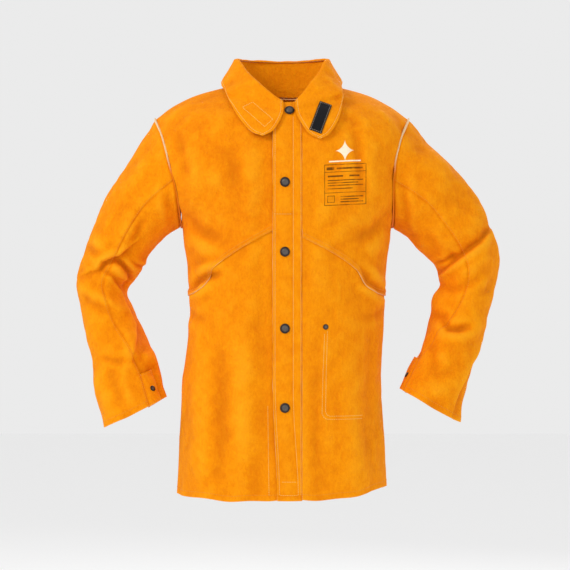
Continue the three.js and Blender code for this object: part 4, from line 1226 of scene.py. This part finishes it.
def front_seam_angle(side, along):
    """The front seam runs straight to the elbow, then turns to where the cuff opens."""
    return mix(FRONT_SEAM, CUFF_SEAM[side], smooth(along, 0.585, 0.9))


def sleeve_panel(side, from_angle, to_angle, columns, rows, cuff_room, span=(0, 1)):
    """A piece of the sleeve between two angles, over a span of its length. Where cuff_room is 1 it dips under
    the cuff's flap."""
    form = sleeve_form(side)

    def place(u, v):
        here = mix(*span, v)
        return here, mix(from_angle(here), to_angle(here), u)

    def surface(u, v):
        return form(*place(u, v))

    def relief(points, edges):
        u, v = np.meshgrid(np.linspace(0, 1, columns + 1), np.linspace(0, 1, rows + 1))
        here, angle = place(u, v)
        past = angle - CUFF_SEAM[side]
        around = smooth(past, -0.35, 0) * (1 - smooth(past, FLAP_SWEEP, FLAP_SWEEP + 0.45))
        dip = cuff_room * CUFF_DIP * around * smooth(here, FLAP_FROM - 0.07, FLAP_FROM - 0.005)
        seams = sewn_edge(edges[0]) + sewn_edge(edges[1])
        return sleeve_relief(side, points, angle, here) + seams - dip

    return panel(surface, columns, rows, side, relief, cut=(3,))


def straight(angle):
    """A seam or an edge that keeps one angle all along the sleeve."""
    return lambda along: angle + 0 * along


def front_seam(side):
    """The front seam's angle at each place along one sleeve."""
    return lambda along: front_seam_angle(side, along)


CUFF_ROWS, CUFF_COLUMNS, CUFF_SNAP_ALONG = 34, 22, 0.945

sleeves = {}
for side, name in ((RIGHT, "sleeve_right"), (LEFT, "sleeve_left")):
    form = sleeve_form(side)
    body, forearm = "jacket_body", "forearm_" + name[7:]
    outer, inner = [[form(np.array(a), np.array(turn)) for a in ELBOW_BEND] for turn in (0.0, np.pi)]
    centre = [(a + b) / 2000 for a, b in zip(outer, inner)]  # the middle of the sleeve, in metres
    top = sleeve_panel(side, straight(BACK_SEAM - 2 * np.pi), front_seam(side), 96, 226, 0)
    under = sleeve_panel(side, front_seam(side), straight(BACK_SEAM), 80, 226, 1)
    sleeves[side] = {"top": top, "under": under, "bend": centre, "forearm": forearm}
    for made, part, nodes in (
        (top, "_top", ["upper_top", "elbow", "forearm_top"]),
        (under, "_under", ["upper_under", "forearm_under"]),
    ):
        piece = leather(name + part, made, HIDE)
        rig.blend(piece, body, forearm, *[tuple(map(float, point)) for point in centre])
        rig.replaces(piece, *[f"{name}_{node}" for node in nodes])
        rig.slot(piece, "suede")

    # The flap that closes the cuff, with its small snap.
    flap_from, flap_to = straight(CUFF_SEAM[side] + 0.003), straight(CUFF_SEAM[side] + FLAP_SWEEP)
    cuff = sleeve_panel(side, flap_from, flap_to, CUFF_COLUMNS, CUFF_ROWS, 0, (FLAP_FROM, 1))
    piece = leather(name + "_cuff_tab", cuff, HIDE)
    cuff_body = "cuff_flap_" + name[7:]
    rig.ride(piece, cuff_body)
    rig.replaces(piece, name + "_cuff_flap")
    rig.slot(piece, "suede")
    sleeves[side]["cuff"] = cuff
    row = int(CUFF_ROWS * (CUFF_SNAP_ALONG - FLAP_FROM) / (1 - FLAP_FROM))
    column = CUFF_COLUMNS // 2
    at = cuff["grid"][row, column]
    normal = facing(cuff["grid"], side)[row, column]
    snap_cap(name + "_cuff_cap", cuff_body, name + "_cuff_snap_cap", at, normal, CUFF_CAP_R)


# ------------------------------------------------------------ the armhole welts
# Where the sleeve is sewn in, the two raw edges of hide stand out together as a pale cord. It is full over
# the shoulder, and lies down between the pieces at the armpit.
def welt_finish():
    """Frayed pale fibre where the edges stand out, and dyed suede where they lie down."""
    made = Finish("armhole welt", 0.95, Sheen_Weight=0.2, Specular_IOR_Level=0.12)
    fibres = made.noise(800, 4, 0.7)
    pale = made.attribute("pale")
    frayed = made.mix(fibres.over(0.5, 0.4), (0.72, 0.38, 0.12), (0.93, 0.76, 0.50))
    made.feed("Base Color", made.mix(pale, SUEDE_DEEP, frayed))
    made.bump(fibres, 0.0007, 0.7)
    return made.material


raw_welt = welt_finish()
# Across the cord: two edges of hide side by side with a dent between. Below 0 it runs down into the seam.
WELT_SECTION = [
    (-1.25, -5), (-1.3, 0), (-1.15, 0.75), (-0.35, 1.0), (-0.1, 0.86),
    (0.1, 0.86), (0.4, 1.02), (1.15, 0.75), (1.3, 0), (1.25, -5),
]

for side, name in ((RIGHT, "right"), (LEFT, "left")):
    angle = np.linspace(0, 2 * np.pi, 260, endpoint=False)
    foot = armhole(side, angle)
    middle = (armhole(side, np.array([np.pi / 2])) + armhole(side, np.array([-np.pi / 2]))) / 2
    out = foot - middle
    out[:, 0] = 0
    out /= np.linalg.norm(out, axis=1, keepdims=True)
    proud = smooth(foot[:, 2], 500, 545)
    ragged = wander(foot, 9, 41)
    high = mix(-0.6, 2.3, proud) + 0.35 * ragged * proud
    breadth, rise = np.array(WELT_SECTION).T
    up = np.where(rise > 0, rise * (high[:, None] + 1.4) - 1.4, rise)
    across = side * (WELT_ROOM / 2 + breadth + 0.12 * ragged[:, None])
    grid = foot[:, None] + out[:, None] * up[..., None] + across[..., None] * np.array([1.0, 0, 0])
    piece = lattice("armhole_welt_" + name + "_cord", grid, raw_welt, True, True)
    height = np.array([v.co[2] for v in piece.data.vertices]) * 1000
    point_values(piece.data, "pale", smooth(height, 512, 548))
    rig.ride(piece, "jacket_body")
    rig.replaces(piece, "armhole_welt_" + name)
    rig.slot(piece, "raw_edge")


# ------------------------------------------------------------ the collar
# Two layers of hide, folded over along the top of a stand and lying open on the chest. Each wing hinges on a
# soft crease. The right wing has a hook patch under it, and the left one a loop patch on its face.
COLLAR_FOLD = {
    RIGHT: [(3, -100, 629), (-14, -99, 638), (-32, -93, 652), (-56, -72, 674)],
    LEFT: [(21, -100, 629), (33, -97, 640), (46, -88, 655), (61, -68, 675)],
}
COLLAR_SIDE = [(73, -38, 698), (79, -4, 705), (75, 27, 708), (55, 54, 709), (28, 67, 709), (0, 71, 709)]
CREASE = {RIGHT: ((2.5, -110, 618), (-87, -84, 643)), LEFT: ((21.5, -113, 618), (96, -86, 643))}
LEAF_EDGE = [(98, -40, 660), (99, 0, 668), (93, 40, 661), (72, 76, 640), (40, 94, 631), (0, 99, 628)]
WING = {
    RIGHT: {
        "tip": (-30, 572), "heel": (-84, 631),
        "leading": [(1, 606), (-14, 580)], "lower": [(-47, 578), (-69, 604)],
    },
    LEFT: {
        "tip": (60, 567), "heel": (98, 631),
        "leading": [(24, 606), (43, 575)], "lower": [(74, 574), (90, 600)],
    },
}
WING_LIFT, ON_CREASE, FOLD_ROLL = 7.5, 0.3, 3.6


def bent_line(points):
    """A centripetal Catmull-Rom curve through the points, with an equal share of t for each span."""
    p = np.array(points, float)
    spans = len(p) - 1
    p = np.vstack([2 * p[0] - p[1], p, 2 * p[-1] - p[-2]])
    gaps = np.sum(np.diff(p, axis=0) ** 2, 1) ** 0.25

    def at(t):
        place = np.clip(t, 0, 1) * spans
        n = np.minimum(place.astype(int), spans - 1)
        w = (place - n)[..., None]
        p0, p1, p2, p3 = p[n], p[n + 1], p[n + 2], p[n + 3]
        d0, d1, d2 = gaps[n][..., None], gaps[n + 1][..., None], gaps[n + 2][..., None]
        t1 = ((p1 - p0) / d0 - (p2 - p0) / (d0 + d1) + (p2 - p1) / d1) * d1
        t2 = ((p2 - p1) / d1 - (p3 - p1) / (d1 + d2) + (p3 - p2) / d2) * d1
        return p1 + t1 * w + (-3 * p1 + 3 * p2 - 2 * t1 - t2) * w**2 + (2 * p1 - 2 * p2 + t1 + t2) * w**3

    return at


def line_between(a, b, t):
    """a + (b - a) * t, for a whole array of t."""
    return np.array(a, float) + (np.array(b, float) - np.array(a, float)) * t[..., None]


def wing_form(side):
    """A patch between the crease, the leading edge and the lower edge, lying a fixed lift off the chest."""
    front, back = np.array(CREASE[side], float)
    tip, heel = WING[side]["tip"], WING[side]["heel"]
    leading = bent_line([(front[0], front[2]), *WING[side]["leading"], tip])
    lower = bent_line([tip, *WING[side]["lower"], heel])
    front_flat, back_flat = front[[0, 2]], back[[0, 2]]

    def form(u, v):
        crease = line_between(front_flat, back_flat, u)
        side_edge = line_between(back_flat, heel, v)
        corners = mix(crease, line_between(tip, heel, u), v[..., None])
        place = mix(crease, lower(u), v[..., None]) + mix(leading(v), side_edge, u[..., None]) - corners
        x, z = place[..., 0], place[..., 1]
        lift = WING_LIFT / np.maximum(-outward_at(x, z)[..., 1], 0.4)
        lying = trunk_at(x, z, FRONT)[..., 1] - lift
        return np.stack([x, mix(mix(front[1], back[1], u), lying, smooth(v, 0, 0.5)), z], -1)

    return form


ROLL_ROW, CREASE_ROW = 0.12, 0.52


def fold_line(side):
    """The collar's fold, from its front end to the middle of the back."""
    return bent_line([*COLLAR_FOLD[side], *[(side * x, y, z) for x, y, z in COLLAR_SIDE]])


def collar_form(side):
    """Columns run from the front end to the middle of the back. Rows go over the fold on a small half circle,
    down the leaf to the crease, and down the wing. Behind the wing the last rows draw in to the leaf."""
    fold = fold_line(side)
    front, back = CREASE[side]
    edge = bent_line([back, *[(side * x, y, z) for x, y, z in LEAF_EDGE]])
    wing = wing_form(side)
    one = np.array(1.0)
    drop = wing(one, one) - np.array(back, float)

    def lower(t):
        on_edge = edge((t - ON_CREASE) / (1 - ON_CREASE))
        return np.where((t < ON_CREASE)[..., None], line_between(front, back, t / ON_CREASE), on_edge)

    def form(t, v):
        top, low = fold(t), lower(t)
        inward = -top * np.array([1.0, 1.0, 0])
        inward /= np.linalg.norm(inward, axis=-1, keepdims=True)
        turn = mix(-0.4, np.pi, np.clip(v / ROLL_ROW, 0, 1))[..., None]
        rise = np.array([0, 0, FOLD_ROLL - HIDE])
        roll = top + inward * FOLD_ROLL * (1 + np.cos(turn)) + rise * np.sin(turn)
        share = mix(1, 0.6, smooth(t, ON_CREASE, 0.5))[..., None]
        middle = mix(top, low, share)
        down = np.clip((v - ROLL_ROW) / (CREASE_ROW - ROLL_ROW), 0, 1)[..., None]
        beyond = np.clip((v - CREASE_ROW) / (1 - CREASE_ROW), 0, 1)
        end = low + drop * (1 - smooth(t, ON_CREASE, 0.42))[..., None]
        behind = mix(middle, end, beyond[..., None])
        last = np.where((t <= ON_CREASE)[..., None], wing(np.clip(t / ON_CREASE, 0, 1), beyond), behind)
        leaf = mix(top, middle, down)
        return np.where((v < ROLL_ROW)[..., None], roll, np.where((v < CREASE_ROW)[..., None], leaf, last))

    return form


def softened(grid, times):
    """Evens out the bends across a grid's rows, and leaves its first and last rows where they are."""
    for _ in range(times):
        grid = np.concatenate([grid[:1], (grid[:-2] + 2 * grid[1:-1] + grid[2:]) / 4, grid[-1:]])
    return grid


def eased(grid):
    """Evens out the bends down the collar, then round it."""
    return softened(softened(grid, 10).swapaxes(0, 1), 14).swapaxes(0, 1)


def collar_relief(points, edges):
    """Soft swells, a valley under the stitching 4 mm in, and an edge rounded off by pressing."""
    sewn = sewn_edge(edges[3] - 4, 0.7, 1.8) + sewn_edge(edges[0] - 4, 0.7, 1.8)
    rounded = -1.2 * np.exp(-((edges[3] / 1.6) ** 2)) - 1.2 * np.exp(-((edges[0] / 1.6) ** 2))
    return 0.9 * wander(points, 70, 51) + 0.5 * wander(points, 26, 52) + sewn + rounded


collar = {}
for side, name in ((RIGHT, "right"), (LEFT, "left")):
    form = collar_form(side)

    def eased_form(t, v):
        return eased(form(t, v))

    made = panel(eased_form, 128, 92, -side, collar_relief, cut=(0, 3))
    front, back = np.array(CREASE[side])
    middle = (front + back) / 2
    crease_way = (back - front) / np.linalg.norm(back - front)
    tip = wing_form(side)(np.array(0.5), np.array(1.0))
    toward = tip - middle
    toward -= (toward @ crease_way) * crease_way
    toward /= np.linalg.norm(toward)
    bend = [tuple(map(float, middle * 0.001)), tuple(map(float, (middle + 9 * toward) * 0.001))]
    piece = leather("collar_half_" + name, made, FACED)
    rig.blend(piece, "jacket_body", "collar_wing_" + name, *bend)
    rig.replaces(piece, "collar_wing_" + name, "collar_leaf")
    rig.slot(piece, "suede")
    collar[side] = {"made": made, "bend": bend}

# The stand, from the neck seam up to the fold.
STAND_FROM = 0.24
STAND_GAP, STAND_BELOW, STAND_FOOT = 0.7, 1.2, 1.0  # clear of the leaf, below the fold, above the neck seam


def stand_form(t_round, v):
    """A straight band at each place round the neck, from the body's neckline to just inside the fold."""
    parts = []
    for side in (RIGHT, LEFT):
        t = 1 - np.abs(2 * t_round - 1)
        along = mix(STAND_FROM, 1, t)
        top = fold_line(side)(along)
        deep = np.where(top[..., 1] < 0, NECK_DEPTH[FRONT], NECK_DEPTH[BACK])
        angle = np.abs(np.arctan2(-top[..., 1] / deep, side * top[..., 0] / NECK_HALF))
        x = side * NECK_HALF * np.cos(angle)
        feet = [trunk_at(x, neckline(side, angle, face)[2], face) for face in (FRONT, BACK)]
        foot = np.where((top[..., 1] < 0)[..., None], *feet) + np.array([0, 0, STAND_FOOT])
        outward = top * np.array([1.0, 1.0, 0])
        outward /= np.linalg.norm(outward, axis=-1, keepdims=True)
        upper = top - outward * (FACED + STAND_GAP) - np.array([0, 0, STAND_BELOW])
        parts.append(mix(foot, upper, v[..., None]))
    return np.where((t_round < 0.5)[..., None], *parts)


def stand_relief(points, edges):
    """The stiff band swells by less than half a millimetre."""
    return 0.4 * wander(points, 60, 55)


stand = panel(stand_form, 200, 20, 1, stand_relief)
piece = leather("collar_stand_band", stand, FACED)
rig.ride(piece, "jacket_body")
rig.replaces(piece, "collar_stand")
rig.slot(piece, "suede")


# The loop and hook patches: woven tape, stitched all round.
TAPE_WIDE, TAPE_LONG, TAPE_THICK = 20, 50, 1.4


def tape_finish():
    """Black pile a fraction of a millimetre deep, over a coarser weave."""
    made = Finish("loop tape", 0.95, Sheen_Weight=0.08, Sheen_Roughness=0.4, Specular_IOR_Level=0.12)
    pile = made.noise(1500, 3, 0.7)
    weave = made.noise(420, 2, 0.5)
    made.feed("Base Color", made.mix(pile.over(0.52, 0.4), (0.003, 0.003, 0.004), (0.020, 0.020, 0.024)))
    made.bump(pile + weave * 0.5, 0.0008, 0.9)
    return made.material


loop_tape = tape_finish()


def patch_form(side, centre, direction, lift):
    """A strip of tape lying on the wing, lifted off it along its normal. The depth at a place in the front
    view is found on the wing by Newton's method."""
    wing = wing_form(side)
    down = np.array(direction, float) / np.hypot(*direction)
    across = np.array([-down[1], down[0]])

    def depth(x, z):
        u, v = 0.5 + 0 * x, 0.5 + 0 * x
        for _ in range(12):
            here = wing(u, v)
            du, dv = (wing(u + 1e-3, v) - here) / 1e-3, (wing(u, v + 1e-3) - here) / 1e-3
            ex, ez = x - here[..., 0], z - here[..., 2]
            scale = du[..., 0] * dv[..., 2] - dv[..., 0] * du[..., 2]
            u = np.clip(u + (ex * dv[..., 2] - ez * dv[..., 0]) / scale, 0.01, 0.99)
            v = np.clip(v + (du[..., 0] * ez - du[..., 2] * ex) / scale, 0.01, 0.99)
        return wing(u, v)[..., 1]

    def form(u, v):
        s, t = TAPE_WIDE * (u - 0.5), TAPE_LONG * (v - 0.5)
        x, z = centre[0] + across[0] * s + down[0] * t, centre[1] + across[1] * s + down[1] * t
        slope_x = (depth(x + 1, z) - depth(x - 1, z)) / 2
        slope_z = (depth(x, z + 1) - depth(x, z - 1)) / 2
        out = np.stack([slope_x, -1 + 0 * x, slope_z], -1)
        out /= np.linalg.norm(out, axis=-1, keepdims=True)
        return np.stack([x, depth(x, z), z], -1) + out * lift

    return form


def patch_relief(points, edges):
    """The tape is pulled down along its stitched border."""
    near = np.minimum(np.minimum(edges[0], edges[1]), np.minimum(edges[2], edges[3]))
    return 0.8 * smooth(near, 1.0, 4.5) - 0.4 + collar_relief(points, [0 * near + 99] * 4)


loop_patch = panel(patch_form(LEFT, (61, 601.5), (-19, -52), 1.7), 20, 50, -1, patch_relief)
piece = leather("loop_tape_patch", loop_patch, TAPE_THICK, loop_tape, loop_tape)
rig.ride(piece, "collar_wing_left")
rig.replaces(piece, "loop_patch")
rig.slot(piece, "loop_tape")


def unpressed(points, edges):
    """The hook patch lies flat under the wing."""
    return 0 * points[..., 0]


hook_patch = panel(patch_form(RIGHT, (-38, 607), (33, -30), -FACED - 1.2), 20, 50, -1, unpressed)
piece = leather("hook_tape_patch", hook_patch, TAPE_THICK, loop_tape, loop_tape)
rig.ride(piece, "collar_wing_right")
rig.replaces(piece, "hook_patch")
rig.slot(piece, "loop_tape")


# ------------------------------------------------------------ the inside pocket
# A flat bag of hide hung inside the left front, sewn through in two rows, with a blackened rivet through
# its top corner.
POCKET_BEHIND = 5.2
RIVET_PLACE = (68, 273)
RIVET = [(0, 0.3), (0.95, 0.3), (1.0, 0.6), (0.97, 1.1), (0.85, 1.6), (0.6, 2.2), (0.3, 2.5), (0, 2.6)]


def pocket_form(u, v):
    """A four-sided patch that leans with the pocket's mouth, a fixed depth behind the trunk's surface."""
    z = mix(127, 281, v)
    x = mix(62, 134, u) + 4 * v
    return trunk_at(x, z, FRONT) - outward_at(x, z) * POCKET_BEHIND


def pocket_relief(points, edges):
    """The bag hangs slack between its sewn sides."""
    return -1.5 * smooth(edges[0], 4, 30) * smooth(edges[1], 4, 30)


pocket = panel(pocket_form, 36, 72, 1, pocket_relief)
piece = leather("pocket_bag", pocket, HIDE)
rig.ride(piece, "jacket_body")
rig.replaces(piece, "inside_pocket")
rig.slot(piece, "suede")
x, z = [np.array(place) for place in RIVET_PLACE]
at, normal = trunk_at(x, z, FRONT), outward_at(x, z)
lifted = lower_fronts[LEFT]["grid"].reshape(-1, 3)
near = np.argmin(np.linalg.norm(lifted - at, axis=1))
snap_cap("pocket_rivet_head", "jacket_body", "pocket_rivet_cap", lifted[near], normal, RIVET_R, RIVET)

# The hidden metal keeps its own shape, in the same blackened finish.
for node in frame["nodes"]:
    if node.endswith(("_socket", "_stud", "_post", "_burr")):
        shown = bpy.data.objects.get(node)
        for place in shown.material_slots:
            place.material = gunmetal


# ------------------------------------------------------------ the stitching
# Twisted yellow thread in a lock stitch, 3.6 mm long and half sunk in the hide. Pale rows hold the flap, the
# pocket and the collar, and orange ones run along the hem, the back, the slanting seams and the sleeves.
def thread_finish(name, colour):
    """Thread whose twist goes from its colour to 0.72 of it."""
    made = Finish(name, 0.7, Sheen_Weight=0.15, Specular_IOR_Level=0.25)
    twist = made.noise(1600, 2, 0.6)
    made.feed("Base Color", made.mix(twist.over(0.5, 0.5), tuple(0.72 * c for c in colour), colour))
    made.bump(twist, 0.0004, 0.7)
    return made.material


pale_thread = thread_finish("pale thread", (1.0, 0.66, 0.17))
orange_thread = thread_finish("orange thread", (0.92, 0.34, 0.02))


def inset_row(made, edge, distance):
    """The line on a piece that keeps a distance from one of its edges: left 0, right 1, low 2 or high 3."""
    grid, away, normal = made["grid"], made["edges"][edge], facing(made["grid"], made["turn"])
    if edge > 1:
        grid, normal, away = grid.swapaxes(0, 1), normal.swapaxes(0, 1), away.T
    if edge % 2:
        grid, normal, away = grid[:, ::-1], normal[:, ::-1], away[:, ::-1]
    after = np.clip((away < distance).sum(1), 1, away.shape[1] - 1)
    row = np.arange(len(away))
    near, far = away[row, after - 1], away[row, after]
    share = ((distance - near) / np.maximum(far - near, 1e-6))[:, None]
    return mix(grid[row, after - 1], grid[row, after], share), normal[row, after]


def laid_on(made, path):
    """A path drawn in the front view, let down onto a piece: each point takes the depth of the plane that
    touches the piece at its nearest point."""
    path = np.array(path, float)
    steps = np.r_[0, np.cumsum(np.linalg.norm(np.diff(path, axis=0), axis=1))]
    fine = np.arange(0, steps[-1], 1.5)
    x, z = np.interp(fine, steps, path[:, 0]), np.interp(fine, steps, path[:, 1])
    points = made["grid"].reshape(-1, 3)
    normals = facing(made["grid"], made["turn"]).reshape(-1, 3)
    away = (points[None, :, 0] - x[:, None]) ** 2 + (points[None, :, 2] - z[:, None]) ** 2
    near = np.argmin(away, axis=1)
    base, normal = points[near], normals[near]
    y = base[:, 1] - (normal[:, 0] * (x - base[:, 0]) + normal[:, 2] * (z - base[:, 2])) / normal[:, 1]
    return np.stack([x, y, z], -1), normal


STITCH_STATIONS = np.array([-0.72, 0.0, 0.72])
STITCH_SIDES = 5


def stitched(name, runs, thread, pitch=3.6, length=2.7, radius=0.52, sink=0.12):
    """Each stitch is a five-sided spindle along the row: its middle line drops by radius * 0.9 * share^2, and
    its radius shrinks by 0.35 * share^2, towards both ends. There it dives into the hide. One mesh holds them
    all."""
    around = np.linspace(0, 2 * np.pi, STITCH_SIDES, endpoint=False)
    made = []
    for points, normals in runs:
        steps = np.r_[0, np.cumsum(np.linalg.norm(np.diff(points, axis=0), axis=1))]
        count = max(int(steps[-1] / pitch), 1)
        centre = (np.arange(count) + 0.5) * steps[-1] / count

        def read(at, field):
            return np.stack([np.interp(at, steps, field[:, axis]) for axis in range(3)], -1)

        ahead = read(centre + length / 2, points) - read(centre - length / 2, points)
        ahead /= np.maximum(np.linalg.norm(ahead, axis=1, keepdims=True), 1e-9)
        out = read(centre, normals)
        out -= (out * ahead).sum(1, keepdims=True) * ahead
        out /= np.linalg.norm(out, axis=1, keepdims=True)
        wide = np.cross(ahead, out)
        middle = read(centre, points) + out * sink
        spoke = wide[:, None] * np.cos(around)[:, None] + out[:, None] * np.sin(around)[:, None]
        rings = [
            middle[:, None] + ahead[:, None] * share * length / 2 - out[:, None] * radius * 0.9 * share**2
            + spoke * radius * (1 - 0.35 * share**2)
            for share in STITCH_STATIONS
        ]
        ends = [middle + ahead * share * length / 2 - out * radius * 1.3 for share in (-1, 1)]
        made.append(np.concatenate([*rings, ends[0][:, None], ends[1][:, None]], axis=1))
    points = np.concatenate(made)
    n, per = points.shape[:2]
    turn = np.arange(STITCH_SIDES)
    onward = (turn + 1) % STITCH_SIDES
    quads = [
        np.stack([low + turn, low + onward, low + STITCH_SIDES + onward, low + STITCH_SIDES + turn], -1)
        for low in (0, STITCH_SIDES)
    ]
    first = np.stack([onward, turn, 0 * turn + per - 2], -1)
    last = np.stack([2 * STITCH_SIDES + turn, 2 * STITCH_SIDES + onward, 0 * turn + per - 1], -1)
    start = (np.arange(n) * per)[:, None, None]
    four = (np.concatenate(quads)[None] + start).reshape(-1, 4)
    three = (np.concatenate([first, last])[None] + start).reshape(-1, 3)
    corners = np.concatenate([four.ravel(), three.ravel()])
    mesh = mesh_of(name, points.reshape(-1, 3), corners, np.r_[np.full(len(four), 4), np.full(len(three), 3)])
    faced_out(mesh)
    mesh.materials.append(thread)
    piece = in_scene(name, mesh)
    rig.slot(piece, "raw_edge")
    return piece


def part_of(run, low, high):
    """The stretch of a row between two heights."""
    points, normals = run
    keep = (points[:, 2] > low) & (points[:, 2] < high)
    return points[keep], normals[keep]


# The flap: one row by its free edge, one down its middle that drifts out to the hem, and one by its seam.
levels = np.linspace(9, 604, 64)
middle_row = np.stack([18 + 8 * smooth(levels, 170, 0), levels], -1)
edge_row = np.stack([-10.5 + 7 * smooth(levels, 190, 0), levels], -1)
flap_rows = [
    laid_on(flap, middle_row),
    laid_on(flap, edge_row),
    laid_on(flap, np.stack([30 + 0 * levels, levels], -1)),
    laid_on(flap, [(-3, 9), (26, 9)]),
    laid_on(flap, [(0, 30), (24, 30)]),
    laid_on(flap, [(-13, 449), (16, 449)]),
]
piece = stitched("flap_stitching", flap_rows, pale_thread)
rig.blend(piece, "jacket_body", "placket_flap", flap_start, flap_end)

# One short row on the right front beside the flap, and two that hold the pocket, round its lower corner.
pocket_outer = [(67, 262), (64.5, 200), (63, 136), (66, 131), (70, 128), (78, 127.5), (128, 127.5)]
pocket_inner = [(71.5, 266), (69.5, 200), (68.5, 140), (70.5, 135), (75, 132.5), (128, 132.5)]
front_rows = [laid_on(lower_fronts[RIGHT], [(-20, 8), (-22, 150)])]
front_rows += [laid_on(lower_fronts[LEFT], path) for path in (pocket_outer, pocket_inner)]
piece = stitched("front_stitching", front_rows, pale_thread)
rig.ride(piece, "jacket_body")

# The hem, the back's seams, and the two rows that hold each lap.
yokes = [chests["back_right"], chests["back_left"]]
laps = [chests["front_right"], chests["front_left"]]
plain_rows = [inset_row(lower_fronts[side], 2, 9) for side in (RIGHT, LEFT)] + [inset_row(lower_back, 2, 9)]
plain_rows += [inset_row(made, 2, inset) for made in yokes for inset in (2.4, 7.4)]
plain_rows += [inset_row(made, 0, 3) for made in yokes]
plain_rows += [inset_row(made, 2, inset) for made in laps for inset in (2.4, 7.0)]
piece = stitched("body_stitching", plain_rows, orange_thread, radius=0.45)
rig.ride(piece, "jacket_body")

for side, name in ((RIGHT, "right"), (LEFT, "left")):
    rows = [inset_row(sleeves[side]["top"], edge, inset) for edge, inset in ((0, 2.8), (1, 2.8), (3, 9))]
    piece = stitched(f"sleeve_{name}_stitching", rows, orange_thread, radius=0.45)
    bend = [tuple(map(float, point)) for point in sleeves[side]["bend"]]
    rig.blend(piece, "jacket_body", sleeves[side]["forearm"], *bend)
    tab_rows = [inset_row(sleeves[side]["cuff"], edge, 3.2) for edge in (1, 2, 3)]
    piece = stitched(f"cuff_tab_{name}_stitching", tab_rows, orange_thread, radius=0.4)
    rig.ride(piece, "cuff_flap_" + name)

    # The collar is sewn all round, and across the right wing in a rectangle that holds its hook patch.
    half = collar[side]["made"]
    rows = [inset_row(half, 3, 4.2), part_of(inset_row(half, 0, 4.2), 0, 634)]
    if side == RIGHT:
        rows.append(laid_on(half, [(-62, 618), (-46, 627), (-14, 598), (-27, 586), (-62, 618)]))
    piece = stitched(f"collar_{name}_stitching", rows, pale_thread, pitch=3.2, length=2.4)
    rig.blend(piece, "jacket_body", "collar_wing_" + name, *collar[side]["bend"])

patch_rows = [inset_row(loop_patch, edge, 1.9) for edge in range(4)]
tape_thread = thread_finish("tape thread", (0.62, 0.50, 0.36))
piece = stitched("loop_patch_stitching", patch_rows, tape_thread, 3.0, 2.1, 0.36)
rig.ride(piece, "collar_wing_left")

json.dump([[list(map(float, c)) for c in cad_box], [list(map(float, c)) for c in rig.bounds()]], open("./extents.json", "w"))
